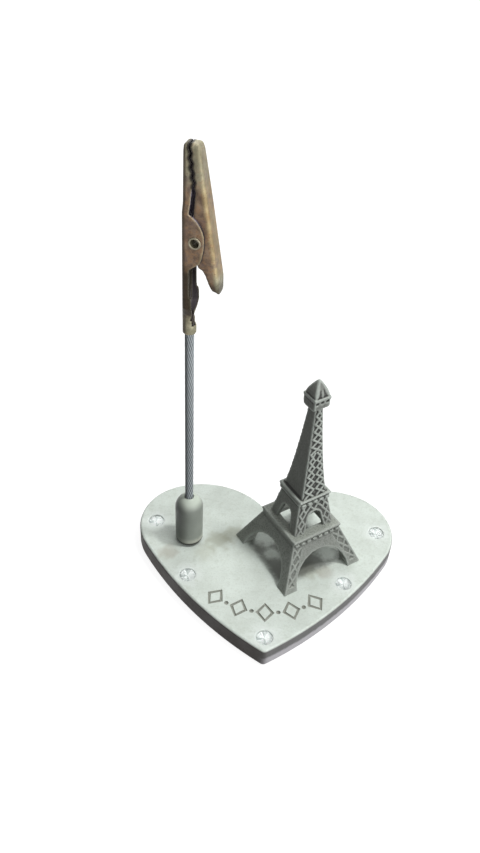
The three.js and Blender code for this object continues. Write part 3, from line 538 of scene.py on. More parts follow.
# Materials of the tower and the stem
def tower_pewter():
    """Antiqued pewter: dark in the hollows, rubbed pale on what stands proud, and painted light on ledges
    and other upward faces.
    """
    material, tree = new_material("tower_pewter")
    place = object_place(tree)
    grain = effect(tree, GRAIN, grain=0.3, drift=3.0)
    tone = grain["Tone"]
    proud = attribute(tree, "proud")
    height = along(tree, place, UP)
    contrast = spread(tree, height, 14 * MM, 26 * MM, 0.35, 1.0)
    rubbed = product(tree, mask(tree, proud, 0.01, 0.08), contrast)
    hollow = product(tree, mask(tree, proud, 0.01, -0.03), contrast)
    legs = zone(tree, height, 17, 13)
    # Painted light: upward faces paler
    lit_tops = mask(tree, along(tree, object_normal(tree), UP), 0.6, 0.95)
    dust = mask(tree, noise(tree, place, 0.35, 4.0, 0.75), 0.4, 0.66, 0.65)
    colour = painted(
        tree, blend_colour(tree, tone, TOWER_DARK, TOWER_GREY),
        (legs, blend_colour(tree, tone, LEG_DARK, LEG_GREY)),
        (lit_tops, LIT_TOP_GREY),
        (dust, TOWER_DUST),
        (hollow, HOLLOW_BLACK),
        (rubbed, RUBBED_PEWTER),
    )
    return surface(material, {
        "Base Color": colour,
        "Roughness": blend_value(tree, rubbed, 0.6, 0.42),
        "Specular IOR Level": 0.3,
        "Normal": bump(tree, grain["Height"], 0.035),
    })


def satin_nickel():
    """Satin plating with faint turned lines, a pale band over the foot, a painted highlight on the dome,
    painted shade on one side and a painted contact shadow round the foot.
    """
    material, tree = new_material("satin_nickel")
    place = object_place(tree)
    facing = object_normal(tree)
    height = along(tree, place, UP)
    stretched = add(tree, "ShaderNodeMapping", {"Vector": place, "Scale": (1.0, 1.0, 14.0)}).outputs[0]
    lines = noise(tree, stretched, 2.0, 4.0, 0.6)
    cloud = noise(tree, place, 3.0, 4.0, 0.6)
    colour = painted(
        tree, blend_colour(tree, cloud, NICKEL_DARK, NICKEL_PALE),
        (zone(tree, height, PLATE_TOP + 3.0, PLATE_TOP + 1.6, 0.7), FOOT_BAND_PALE),
        # Painted contact shadow round the foot
        (zone(tree, height, PLATE_TOP + 1.5, PLATE_TOP + 1.0), FOOT_CONTACT_SHADE),
        # Painted highlight on the dome
        (mask(tree, along(tree, facing, UP), 0.2, 0.75), NICKEL_HIGHLIGHT),
        # Painted shade on one side
        (mask(tree, along(tree, facing, SHADED_SIDE), 0.35, 0.98, 0.7), NICKEL_SIDE_SHADE),
    )
    return surface(material, {
        "Base Color": colour,
        "Roughness": blend_value(tree, lines, 0.32, 0.44),
        "Specular IOR Level": 0.22,
        "Normal": bump(tree, lines, 0.008),
    })


def rope_wire():
    """Blue-grey drawn wire, with painted shade between the wires and on the left, and darker in the crimp.
    """
    material, tree = new_material("rope_wire")
    place = object_place(tree)
    core = middle("rope_core")
    aside = vector_maths(tree, "SUBTRACT", place, (core.x, core.y, 0))[0]
    level = vector_maths(tree, "MULTIPLY", aside, (1, 1, 0))[0]
    reach = vector_maths(tree, "LENGTH", level)["Value"]
    rise = rise_from_pivot(tree, place)
    cloud = noise(tree, place, 2.5, 4.0, 0.65)
    colour = painted(
        tree, blend_colour(tree, cloud, WIRE_DARK, WIRE_PALE),
        # Painted shade between the wires
        (zone(tree, reach, 0.89, 0.76), WIRE_CREVICE_SHADE),
        (zone(tree, rise, -52, -24, 0.4), WIRE_BRIGHT),
        # Painted shade on the left side
        (zone(tree, along(tree, aside, (-1, 0, 0)), 0.05, 0.7, 0.75), WIRE_LEFT_SHADE),
        (zone(tree, rise, -18.5, -17.5), WIRE_CRIMP_DARK),
    )
    return surface(material, {
        "Base Color": colour,
        "Roughness": blend_value(tree, cloud, 0.46, 0.34),
        "Specular IOR Level": 0.22,
    })


def spring_steel():
    material, tree = new_material("spring_steel")
    cloud = noise(tree, object_place(tree), 0.7, 3.0)
    return surface(material, {
        "Base Color": blend_colour(tree, cloud, STEEL_DARK, STEEL_PALE),
        "Roughness": blend_value(tree, cloud, 0.3, 0.42),
        "Metallic": 0.6,
    })


# Materials of the clip
def shut_in(tree):
    """Mask of surfaces that near walls shut in."""
    return mask(tree, attribute(tree, "inside"), 0.15, 0.55)


def clip_zones(tree, place, tail_shade, tip_shade):
    """Masks by the height over the pivot, by the way the sheet faces and by what is near it."""
    rise = rise_from_pivot(tree, place)
    facing = attribute(tree, "bend")
    # Painted highlight along the bend
    bend = mask(tree, facing, 0.08, 0.5)
    nose = zone(tree, rise, 8, 12)
    thumb = product(tree, zone(tree, rise, -5, -8), bend)
    crimp = zone(tree, rise, -14.5, -16)
    low = zone(tree, rise, -3, -7, tail_shade)
    lever_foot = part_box("lever_jaw")[0].z / MM
    teeth = spread(tree, rise, 4 * MM, 7 * MM, 0.1, 1.0)
    return {
        "bend": bend,
        # Painted shade on faces that turn fully across
        "back": mask(tree, facing, 0.75, 0.95, 0.6),
        # Painted shade on the fixed jaw's spine
        "spine": mask(tree, facing, -0.04, -0.4, 0.85),
        "thumb": thumb,
        "ends": maths(tree, "MAXIMUM", maths(tree, "MAXIMUM", nose, thumb), crimp),
        # Painted shadow in the tail
        "tail": product(tree, low, maths(tree, "SUBTRACT", 1.0, crimp)),
        # Painted shade at the lever's tip
        "tip": zone(tree, along(tree, place, UP), lever_foot + 3.6, lever_foot + 0.9, tip_shade),
        "above_pivot": zone(tree, rise, 2.5, 4.5),
        # Shut-in places: a lining, with painted shade below the pivot
        "inside": shut_in(tree),
        # Painted shade where the jaws meet
        "meeting": product(tree, attribute(tree, "meeting"), teeth),
    }


def clip_colour(tree, place, zones, tarnish):
    """Browned flats, a painted highlight in tan on the bend, olive ends, rust and bloom, a lining in
    shut-in places, and painted shade on the back, spine, tail, tip, lining below the pivot and between the
    teeth.
    """
    patches = tarnish["Patches"]
    rust = mask(tree, noise(tree, place, 0.8, 4.0, 0.75), 0.48, 0.62, 0.65)
    rusting = maths(tree, "SUBTRACT", 1.0, product(tree, zones["ends"], 0.7))
    bloom = mask(tree, noise(tree, place, 2.2, 3.0, 0.6), 0.54, 0.68, 0.55)
    worn = mask(tree, attribute(tree, "proud"), 0.02, 0.09, 0.28)
    return painted(
        tree, blend_colour(tree, patches, FLAT_DARK, FLAT_PALE),
        # Painted highlight along the bend
        (zones["bend"], blend_colour(tree, patches, BEND_HIGHLIGHT_DARK, BEND_HIGHLIGHT_PALE)),
        (product(tree, zones["ends"], 0.85), blend_colour(tree, patches, END_DARK, END_PALE)),
        # Painted shade on faces that turn fully across
        (zones["back"], BACK_SHADE_BROWN),
        (product(tree, rust, rusting), RUST),
        (bloom, VIOLET_BLOOM),
        (product(tree, tarnish["Specks"], 0.55), BRASS_SPECK),
        (worn, WORN_BRASS),
        # Painted shade on the spine
        (zones["spine"], SPINE_SHADE),
        # Olive thumb, lying along the bend's painted highlight
        (zones["thumb"], blend_colour(tree, patches, THUMB_DARK, THUMB_PALE)),
        # Painted shadow in the tail
        (zones["tail"], TAIL_SHADOW),
        # Painted shade at the lever's tip
        (zones["tip"], TIP_SHADE_DARK),
        # Lining, with painted shade below the pivot
        (zones["inside"], blend_colour(tree, zones["above_pivot"], LINING_SHADE, LINING_PALE)),
        # Painted shade between the teeth
        (zones["meeting"], TEETH_GAP_SHADE),
    )


def aged_brass(name, tail_shade, tip_shade):
    """Antiqued brass plate of one of the clip's halves."""
    material, tree = new_material(name)
    place = object_place(tree)
    tarnish = effect(tree, TARNISH, patch=1.6, speck=0.4)
    zones = clip_zones(tree, place, tail_shade, tip_shade)
    return surface(material, {
        "Base Color": clip_colour(tree, place, zones, tarnish),
        "Roughness": blend_value(tree, tarnish["Patches"], 0.55, 0.42),
        "Metallic": blend_value(tree, zones["inside"], 0.4, 0.0),
        "Specular IOR Level": 0.25,
        "Normal": bump(tree, tarnish["Specks"], 0.015),
    })


def eyelet_brass():
    """Paler brass of the rolled rivet, with painted shade in its bore."""
    material, tree = new_material("eyelet_brass")
    cloud = noise(tree, object_place(tree), 0.7, 4.0, 0.65)
    outside = blend_colour(tree, cloud, EYELET_DARK, EYELET_PALE)
    return surface(material, {
        # Painted shade in the bore
        "Base Color": blend_colour(tree, shut_in(tree), outside, EYELET_SHADED_BORE),
        "Roughness": blend_value(tree, cloud, 0.5, 0.36),
        "Metallic": 0.4,
    })


# Materials of the stones
def cut_glass():
    material, tree = new_material("cut_glass")
    haze = noise(tree, object_place(tree), 1.2, 2.0)
    return surface(material, {
        "Base Color": GLASS_CLEAR,
        "Roughness": spread(tree, haze, 0.4, 0.8, 0.03, 0.12),
        "Transmission Weight": 1.0,
        "IOR": 1.52,
    })


def silver_foil():
    """Foil on the stones' backs, with painted glints on some facets."""
    material, tree = new_material("silver_foil")
    cloud = noise(tree, object_place(tree), 0.8, 3.0)
    # Painted glints on some facets
    painted_glint = mask(tree, attribute(tree, "facet"), 0.1, 0.5)
    return surface(material, {
        "Base Color": painted(tree, blend_colour(tree, cloud, FOIL_DARK, FOIL_PALE), (painted_glint, FOIL_PAINTED_GLINT)),
        "Roughness": spread(tree, cloud, 0.3, 0.8, 0.25, 0.4),
        "Metallic": 0.35,
    })


# Mesh helpers
def linked(name, data):
    """New object in the scene."""
    thing = bpy.data.objects.new(name, data)
    bpy.context.scene.collection.objects.link(thing)
    return thing


def new_object(name, bm):
    mesh = bpy.data.meshes.new(name)
    bm.to_mesh(mesh)
    bm.free()
    return linked(name, mesh)


def plain_mesh(piece):
    """New mesh of an object as its modifiers or its curve leave it."""
    graph = bpy.context.evaluated_depsgraph_get()
    return bpy.data.meshes.new_from_object(piece.evaluated_get(graph))


def settle(piece):
    """Turn a piece with modifiers into a plain mesh."""
    made = plain_mesh(piece)
    piece.modifiers.clear()
    piece.data = made
    return piece


def dress(piece, material, body, slot, *nodes):
    """Give a finished piece its material and its body, and hide the solids that it stands for."""
    if not any(piece.data.materials):
        piece.data.materials.clear()
        piece.data.materials.append(material)
    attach(piece, body)
    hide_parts(*nodes)
    return piece


def smooth(piece, angle):
    """Shade a piece smooth, with sharp edges past an angle in degrees."""
    piece.data.shade_smooth()
    piece.data.set_sharp_from_angle(angle=math.radians(angle))


def middle(node):
    low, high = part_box(node)
    return (low + high) / 2


def stand(piece, node):
    """Move a piece made on the origin to where its solid stands."""
    centre = middle(node)
    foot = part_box(node)[0].z
    piece.data.transform(Matrix.Translation((centre.x, centre.y, foot)))


def arc(centre, width, height, start, end, steps):
    """Profile points along an arc round a centre, with its two half axes."""
    points = []
    for i in range(steps + 1):
        angle = start + (end - start) * i / steps
        points.append((centre[0] + width * math.cos(angle), centre[1] + height * math.sin(angle)))
    return points


def ring(bm, count, radius, height, centre=(0, 0), turn=0.0):
    """Points round an upright axis, turned by a share of the step between two of them."""
    angles = [FULL_TURN * (i + turn) / count for i in range(count)]
    spots = [(centre[0] + radius * math.cos(a), centre[1] + radius * math.sin(a)) for a in angles]
    return [bm.verts.new((x, y, height)) for x, y in spots]


def skin(bm, rings):
    """Faces between rings of points that follow one another."""
    for low, high in zip(rings, rings[1:]):
        for i in range(len(low)):
            j = (i + 1) % len(low)
            corners = dict.fromkeys((low[i], low[j], high[j], high[i]))
            bm.faces.new(list(corners))


def turned(profile, sides, closed=False):
    """Profile of (radius, height) points in millimetres, turned about Z."""
    bm = bmesh.new()
    rings = []
    for radius, height in profile:
        if radius == 0:
            rings.append([bm.verts.new((0, 0, height * MM))] * sides)
        else:
            rings.append(ring(bm, sides, radius * MM, height * MM))
    if closed:
        rings.append(rings[0])
    skin(bm, rings)
    bmesh.ops.recalc_face_normals(bm, faces=bm.faces)
    return bm


def block(name, sizes, place):
    """Box-shaped tool round a place, all in millimetres."""
    bm = bmesh.new()
    bmesh.ops.create_cube(bm, size=1.0)
    tool = new_object(name, bm)
    tool.data.transform(Matrix.Diagonal((*(Vector(sizes) * MM), 1)))
    tool.data.transform(Matrix.Translation(Vector(place) * MM))
    return tool


def merged_copy(node):
    """Copy of a solid's mesh with its loose triangles merged."""
    bm = bmesh.new()
    bm.from_mesh(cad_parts[node].data)
    bmesh.ops.remove_doubles(bm, verts=bm.verts, dist=2e-7)
    return bm


def carve(piece, tools):
    """Cut tools out of a piece, the cut faces taking the tools' own materials."""
    for tool in tools:
        cut = piece.modifiers.new("cut", "BOOLEAN")
        cut.operation = "DIFFERENCE"
        cut.object = tool
        cut.solver = "EXACT"
        cut.material_mode = "TRANSFER"
    settle(piece)
    for tool in tools:
        bpy.data.objects.remove(tool)


def soften(piece, voxel):
    """Round all edges of a piece, and swell it a little so that its outline stays in place."""
    remesh = piece.modifiers.new("skin", "REMESH")
    remesh.mode = "VOXEL"
    remesh.voxel_size = voxel * MM
    ease = piece.modifiers.new("ease", "SMOOTH")
    ease.factor = 0.5
    ease.iterations = 2
    grow = piece.modifiers.new("grow", "DISPLACE")
    grow.mid_level = 0.0
    grow.strength = SWELL * MM
    settle(piece)
    piece.data.shade_smooth()


# Values stored on a mesh's points for its material
def mesh_arrays(mesh):
    """Places and normals of a mesh's points, and the ends of its edges."""
    places = np.empty((len(mesh.vertices), 3), dtype=np.float32)
    mesh.vertices.foreach_get("co", places.ravel())
    normals = np.empty_like(places)
    mesh.vertices.foreach_get("normal", normals.ravel())
    ends = np.empty((len(mesh.edges), 2), dtype=np.int32)
    mesh.edges.foreach_get("vertices", ends.ravel())
    return places, normals, ends


def eased(values, ends, rounds):
    """Columns of values on a mesh's points, averaged over their neighbours some rounds."""
    count = len(values)
    first, second = ends.T
    degree = np.bincount(ends.ravel(), minlength=count)
    for _ in range(rounds):
        columns = []
        for column in values.T:
            sums = np.bincount(first, column[second], count) + np.bincount(second, column[first], count)
            columns.append(sums / degree)
        values = np.stack(columns, axis=1)
    return values


def mark(piece, name, values):
    """Store a value on each point of a piece."""
    layer = piece.data.attributes.new(name, "FLOAT", "POINT")
    layer.data.foreach_set("value", np.ascontiguousarray(values, dtype=np.float32))


def mark_proud(piece, rounds):
    """Store how far each point stands out of its smoothed surroundings, in millimetres."""
    places, normals, ends = mesh_arrays(piece.data)
    outward = (places - eased(places, ends, rounds)) * normals
    mark(piece, "proud", outward.sum(axis=1) / MM)


def mark_bend(piece, way, rounds):
    """Store how far the smoothed surface faces a way."""
    normals, ends = mesh_arrays(piece.data)[1:]
    mark(piece, "bend", eased(normals @ np.array(way)[:, None], ends, rounds)[:, 0])


def walls_of(*nodes):
    """Search tree of some solids' faces."""
    walls = bmesh.new()
    for node in nodes:
        walls.from_mesh(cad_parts[node].data)
    tree = BVHTree.FromBMesh(walls)
    walls.free()
    return tree


def mark_meeting(piece, node, near, far):
    """Store 1 where a point is as near as near to a solid, falling to 0 at far, in millimetres."""
    walls = walls_of(node)
    gaps = np.array([walls.find_nearest(vert.co)[3] for vert in piece.data.vertices]) / MM
    mark(piece, "meeting", np.clip((far - gaps) / (far - near), 0, 1))


def mark_inside(piece, nodes, reach):
    """Store what share of the open space over each point is shut off by near walls of some solids."""
    walls = walls_of(*nodes)
    lift = 0.15 * MM
    shut = []
    for vert in piece.data.vertices:
        facing = vert.normal
        aside = facing.orthogonal().normalized()
        other = facing.cross(aside)
        start = vert.co + lift * facing
        ways = (facing, facing + aside, facing - aside, facing + other, facing - other)
        hits = [walls.ray_cast(start, way.normalized(), reach * MM)[0] is not None for way in ways]
        shut.append(sum(hits) / len(hits))
    ends = mesh_arrays(piece.data)[2]
    mark(piece, "inside", eased(np.array(shut)[:, None], ends, rounds=2)[:, 0])


# Geometry node helpers
def shape_tree(name, counts, sizes):
    """Geometry node tree with named inputs, and those inputs."""
    tree = bpy.data.node_groups.new(name, "GeometryNodeTree")
    for kind, labels in (("NodeSocketInt", counts), ("NodeSocketFloat", sizes)):
        for label in labels:
            tree.interface.new_socket(label, in_out="INPUT", socket_type=kind)
    tree.interface.new_socket("Geometry", in_out="OUTPUT", socket_type="NodeSocketGeometry")
    return tree, add(tree, "NodeGroupInput").outputs


def end_tree(tree, shape, material):
    """Last nodes of a geometry tree: one plain mesh in one material."""
    solid = add(tree, "GeometryNodeRealizeInstances", {0: shape}).outputs[0]
    finished = add(tree, "GeometryNodeSetMaterial", {"Geometry": solid, "Material": material}).outputs[0]
    add(tree, "NodeGroupOutput", {0: finished})
    return tree


def swept(tree, path, radius, sides, caps):
    """Round section swept along a path."""
    inputs = {"Resolution": sides, "Radius": radius}
    section = add(tree, "GeometryNodeCurvePrimitiveCircle", inputs).outputs[0]
    inputs = {"Curve": path, "Profile Curve": section, "Fill Caps": caps}
    return add(tree, "GeometryNodeCurveToMesh", inputs).outputs[0]


def set_round(tree, geometry, radius, angle, height):
    """Geometry with its points set at a radius, an angle and a height."""
    x = product(tree, radius, maths(tree, "COSINE", angle))
    y = product(tree, radius, maths(tree, "SINE", angle))
    place = add(tree, "ShaderNodeCombineXYZ", {"X": x, "Y": y, "Z": height}).outputs[0]
    return add(tree, "GeometryNodeSetPosition", {"Geometry": geometry, "Position": place}).outputs[0]


def grown(name, tree, **sizes):
    """Plain mesh of a node tree with the given sizes, whose names have underscores for spaces."""
    host = linked(name, bpy.data.meshes.new(name))
    modifier = host.modifiers.new("shape", "NODES")
    modifier.node_group = tree
    for socket in tree.interface.items_tree:
        label = socket.name.replace(" ", "_").lower()
        if socket.in_out == "INPUT" and label in sizes:
            modifier[socket.identifier] = sizes[label]
    return settle(host)


# Heart plate
def toward(angle):
    """Unit vector at an angle, seen from above."""
    return Vector((math.cos(angle), math.sin(angle)))


def heart_arcs():
    """Centre, radius and two angles of each tangent arc of the heart's right half, from the notch on."""
    narrowing = CROWN_RADIUS - SHOULDER_RADIUS
    crown = Vector((PLATE_WIDTH / 2 - SHOULDER_RADIUS - narrowing * math.cos(CROWN_END), 0))
    shoulder = crown + narrowing * toward(CROWN_END)
    flank = shoulder + (SHOULDER_RADIUS - FLANK_RADIUS) * toward(FLANK_START)
    tip = Vector((0, flank.y - math.sqrt((FLANK_RADIUS - TIP_RADIUS) ** 2 - flank.x ** 2)))
    notch = Vector((0, math.sqrt((CROWN_RADIUS + NOTCH_RADIUS) ** 2 - crown.x ** 2)))
    notch_angle = math.atan2(notch.y, -crown.x)
    tip_angle = math.atan2(tip.y - flank.y, -flank.x)
    return (
        (notch, NOTCH_RADIUS, -math.pi / 2, notch_angle - math.pi),
        (crown, CROWN_RADIUS, notch_angle, CROWN_END),
        (shoulder, SHOULDER_RADIUS, CROWN_END, FLANK_START),
        (flank, FLANK_RADIUS, FLANK_START, tip_angle),
        (tip, TIP_RADIUS, tip_angle, -math.pi / 2),
    )


def heart_outline():
    """Points and outward ways of the heart from above, turning left."""
    arcs = heart_arcs()
    tip = arcs[-1][0]
    shift = Vector((0, (CROWN_RADIUS + tip.y - TIP_RADIUS) / 2))
    right = []
    for number, (centre, radius, start, end) in enumerate(arcs):
        steps = max(FEWEST_STEPS, round(radius * abs(end - start) / OUTLINE_STEP))
        # The notch comes first and is hollow, so the way out of the plate points to its centre
        side = -1 if number == 0 else 1
        for i in range(steps):
            outward = toward(start + (end - start) * i / steps)
            right.append((centre + radius * outward - shift, side * outward))
    last = (tip - Vector((0, TIP_RADIUS)) - shift, Vector((0, -1)))
    mirror = [(Vector((-p.x, p.y)), Vector((-n.x, n.y))) for p, n in reversed(right[1:])]
    return list(reversed(right + [last] + mirror))


def plate_blank():
    """Heart with rounded upper and lower edges."""
    bm = bmesh.new()
    outline = heart_outline()
    rings = []
    for sign, level in ((-1, PLATE_EDGE), (1, PLATE_TOP - PLATE_EDGE)):
        for i in range(EDGE_STEPS + 1):
            share = i / EDGE_STEPS if sign > 0 else 1 - i / EDGE_STEPS
            angle = share * math.pi / 2
            inset = PLATE_EDGE * (1 - math.cos(angle))
            height = level + sign * PLATE_EDGE * math.sin(angle)
            places = [p - inset * n for p, n in outline]
            rings.append([bm.verts.new((p.x * MM, p.y * MM, height * MM)) for p in places])
    skin(bm, rings)
    bm.faces.new(list(reversed(rings[0])))
    bm.faces.new(rings[-1])
    return new_object("plate_casting", bm)


def engraved_row_tree(material):
    """Lozenge outlines along an arc with dots between them, as cutting tools."""
    sizes = ("Radius", "Sweep", "Lozenge Length", "Lozenge Width", "Dot Width", "Stroke")
    tree, given = shape_tree("engraved_row", ("Marks",), sizes)
    half_width = product(tree, given["Lozenge Width"], 0.5)
    inputs = {"Width": given["Lozenge Length"], "Bottom Height": half_width, "Top Height": half_width}
    diamond = add(tree, "GeometryNodeCurvePrimitiveQuadrilateral", inputs, mode="KITE").outputs[0]
    outline = swept(tree, diamond, product(tree, given["Stroke"], 0.5), STROKE_SIDES, caps=False)
    inputs = {"Segments": 16, "Rings": 9, "Radius": product(tree, given["Dot Width"], 0.5)}
    dot = add(tree, "GeometryNodeMeshUVSphere", inputs).outputs[0]
    start = maths(tree, "SUBTRACT", -math.pi / 2, maths(tree, "DIVIDE", given["Sweep"], 2.0))
    gaps = maths(tree, "SUBTRACT", given["Marks"], 1.0)
    step = maths(tree, "DIVIDE", given["Sweep"], gaps)
    number = add(tree, "GeometryNodeInputIndex").outputs[0]
    row = add(tree, "GeometryNodeJoinGeometry")
    for shape, count, offset in ((outline, given["Marks"], 0.0), (dot, gaps, 0.5)):
        angle = maths(tree, "MULTIPLY_ADD", maths(tree, "ADD", number, offset), step, start)
        points = add(tree, "GeometryNodePoints", {"Count": count}).outputs[0]
        placed = set_round(tree, points, given["Radius"], angle, 0.0)
        turn = add(tree, "ShaderNodeCombineXYZ", {"Z": angle}).outputs[0]
        inputs = {"Points": placed, "Instance": shape, "Rotation": turn}
        feed(tree, row.inputs[0], add(tree, "GeometryNodeInstanceOnPoints", inputs).outputs[0])
    return end_tree(tree, row.outputs[0], material)


def stone_seat(node, material):
    """Tool for a stone's round seat with a sloping rim."""
    low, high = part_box(node)
    radius = (high.x - low.x) / 2 / MM + SEAT_PLAY
    rim = radius + SEAT_RIM
    above = SEAT_DEPTH + SEAT_ABOVE
    profile = [(0, 0), (radius, 0), (radius, SEAT_DEPTH - SEAT_FALL), (rim, SEAT_DEPTH)]
    profile += [(rim, above), (0, above)]
    tool = new_object("seat", turned(profile, sides=64))
    tool.data.materials.append(material)
    place = middle(node)
    tool.data.transform(Matrix.Translation((place.x, place.y, (PLATE_TOP - SEAT_DEPTH) * MM)))
    return tool


def heart_plate(pewter, bright_cut, patina):
    plate = plate_blank()
    plate.data.materials.append(pewter)
    row = grown(
        "row", engraved_row_tree(patina), marks=ROW_MARKS, radius=ROW_RADIUS * MM, sweep=ROW_SWEEP,
        lozenge_length=LOZENGE_LENGTH * MM, lozenge_width=LOZENGE_WIDTH * MM, dot_width=DOT_WIDTH * MM,
        stroke=STROKE * MM,
    )
    row.data.transform(Matrix.Translation((ROW_CENTRE[0] * MM, ROW_CENTRE[1] * MM, PLATE_TOP * MM)))
    carve(plate, [stone_seat("stone_" + name, bright_cut) for name in STONE_PLACES] + [row])
    smooth(plate, angle=40)
    even = plate.modifiers.new("even", "WEIGHTED_NORMAL")
    even.keep_sharp = True
    settle(plate)
    return dress(plate, pewter, "base", "plate", "heart_plate")


# Set stones
def stone_facets(low, high):
    """Table, star and kite facets, and below the girdle a cone in the second material."""
    radius = (high.x - low.x) / 2
    centre = (low + high) / 2
    girdle = low.z + GIRDLE_SHARE * (high.z - low.z)
    rise = high.z - girdle
    rim_sides = 2 * STONE_SIDES
    bm = bmesh.new()
    table = ring(bm, STONE_SIDES, radius * TABLE_SHARE, high.z, centre)
    kite = ring(bm, STONE_SIDES, radius * KITE_SHARE, girdle + KITE_RISE * rise, centre, turn=0.5)
    upper = ring(bm, rim_sides, radius, girdle + GIRDLE_BAND * rise, centre)
    lower = ring(bm, rim_sides, radius, girdle - GIRDLE_BAND * rise, centre)
    point = bm.verts.new((centre.x, centre.y, low.z))
    bm.faces.new(table)
    for i in range(STONE_SIDES):
        j = (i + 1) % STONE_SIDES
        bm.faces.new((table[i], kite[i], table[j]))
        bm.faces.new((table[i], kite[i - 1], upper[2 * i], kite[i]))
        bm.faces.new((kite[i], upper[2 * i], upper[2 * i + 1]))
        bm.faces.new((kite[i], upper[2 * i + 1], upper[2 * j]))
    for i in range(rim_sides):
        j = (i + 1) % rim_sides
        bm.faces.new((upper[i], lower[i], lower[j], upper[j])).material_index = 1
        bm.faces.new((lower[i], point, lower[j])).material_index = 1
    bmesh.ops.recalc_face_normals(bm, faces=bm.faces)
    return bm


def cut_stone(node, glass, foil):
    """Round cut stone with a foiled back, each facet with a number of its own that sets the foil's painted
    glints.
    """
    stone = new_object("cut_" + node, stone_facets(*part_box(node)))
    stone.data.materials.append(glass)
    stone.data.materials.append(foil)
    tones = stone.data.attributes.new("facet", "FLOAT", "FACE")
    for number, tone in enumerate(tones.data):
        tone.value = number * FACET_STEP % 1
    return dress(stone, glass, "base", "stone", node)


# Stem
def stem_ferrule(material):
    """Turned sleeve with a rounded foot, a domed top and a seat for the rope."""
    low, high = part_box("stem_ferrule")
    radius = (high.x - low.x) / 2 / MM
    height = (high.z - low.z) / MM
    foot = 1.0
    dome = 3.4
    bore = 1.0
    lip = 0.12
    seat = 5.0
    dome_end = math.acos((bore + lip) / radius)
    rise = (dome - lip) / math.sin(dome_end)
    profile = [(bore, 0.0)]
    profile += arc((radius - foot, foot), foot, foot, -math.pi / 2, 0.0, steps=8)
    profile += arc((0.0, height - dome), radius, rise, 0.0, dome_end, steps=24)
    profile += [(bore + lip / 2, height - lip / 4), (bore, height - lip), (bore, height - seat)]
    sleeve = new_object("ferrule_sleeve", turned(profile, sides=96, closed=True))
    stand(sleeve, "stem_ferrule")
    smooth(sleeve, angle=50)
    return dress(sleeve, material, "base", "ferrule", "stem_ferrule")


def wire_rope_tree(material):
    """Layers of one, six and twelve wires laid round one another."""
    tree, given = shape_tree("wire_rope", ("Steps",), ("Low", "High", "Wire Radius", "Wire Gap", "Lay"))
    start = add(tree, "ShaderNodeCombineXYZ", {"Z": given["Low"]}).outputs[0]
    end = add(tree, "ShaderNodeCombineXYZ", {"Z": given["High"]}).outputs[0]
    line = add(tree, "GeometryNodeCurvePrimitiveLine", {"Start": start, "End": end}).outputs[0]
    path = add(tree, "GeometryNodeResampleCurve", {"Curve": line, "Count": given["Steps"]}).outputs[0]
    position = add(tree, "GeometryNodeInputPosition").outputs[0]
    level = add(tree, "ShaderNodeSeparateXYZ", {0: position}).outputs["Z"]
    turns = maths(tree, "DIVIDE", maths(tree, "SUBTRACT", given["Low"], level), given["Lay"])
    half_step = maths(tree, "MULTIPLY_ADD", given["Wire Gap"], 0.5, given["Wire Radius"])
    layers = add(tree, "GeometryNodeJoinGeometry")
    for wires in (1, OUTER_WIRES // 2, OUTER_WIRES):
        inputs = {"Geometry": path, "Amount": wires}
        copies = add(tree, "GeometryNodeDuplicateElements", inputs, domain="SPLINE").outputs
        share = maths(tree, "DIVIDE", copies["Duplicate Index"], float(wires))
        angle = product(tree, maths(tree, "ADD", turns, share), FULL_TURN)
        widening = 1 / math.sin(math.pi / wires) if wires > 1 else 0.0
        orbit = product(tree, half_step, widening)
        wound = set_round(tree, copies[0], orbit, angle, level)
        feed(tree, layers.inputs[0], swept(tree, wound, given["Wire Radius"], WIRE_SIDES, caps=True))
    return end_tree(tree, layers.outputs[0], material)


def wire_rope(material):
    low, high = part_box("rope_core")
    rope = grown(
        "rope_wires", wire_rope_tree(material), steps=ROPE_STEPS, low=low.z, high=high.z,
        wire_radius=WIRE_RADIUS * MM, wire_gap=WIRE_GAP * MM, lay=LAY_LENGTH * MM,
    )
    core = middle("rope_core")
    rope.data.transform(Matrix.Translation((core.x, core.y, 0)))
    rope.data.shade_smooth()
    strands = [f"rope_strand_{number}" for number in range(1, OUTER_WIRES + 1)]
    return dress(rope, material, "base", "rope", "rope_core", *strands)


def ferrule_screw(material):
    """Countersunk screw under the plate, with its slot and its thread."""
    low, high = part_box("ferrule_screw")
    length = (high.z - low.z) / MM
    head = 2.4
    chamfer = 0.15
    rim = 0.1
    cone = 1.3
    shank = 1.2
    pitch = 0.5
    depth = 0.18
    crest = 0.05
    slot = (3 * head, 0.6, 1.4)
    profile = [(0, 0), (head - chamfer, 0), (head, rim), (head, 2 * rim), (shank, cone)]
    level = cone
    while level + pitch < length:
        root = (shank - depth, level + pitch / 2)
        profile += [(shank, level + crest), root, (shank, level + pitch - crest)]
        level += pitch
    profile += [(shank, length), (0, length)]
    screw = new_object("slotted_screw", turned(profile, sides=64))
    carve(screw, [block("slot", slot, (0, 0, 0))])
    stand(screw, "ferrule_screw")
    smooth(screw, angle=30)
    return dress(screw, material, "base", "screw", "ferrule_screw")


# Tower
def leg_hollow():
    """Tool for the space inside the first storey's walls, square from above."""
    bm = bmesh.new()
    corner = math.sqrt(2) * MM
    rings = [ring(bm, 4, half * corner, height * MM, turn=0.5) for half, height in LEG_HOLLOW]
    skin(bm, rings)
    bm.faces.new(rings[0])
    bm.faces.new(rings[-1])
    bmesh.ops.recalc_face_normals(bm, faces=bm.faces)
    tool = new_object("hollow", bm)
    centre = middle("lattice_tower")
    tool.data.transform(Matrix.Translation((centre.x, centre.y, 0)) @ Matrix.Rotation(TOWER_TURN, 4, "Z"))
    return tool


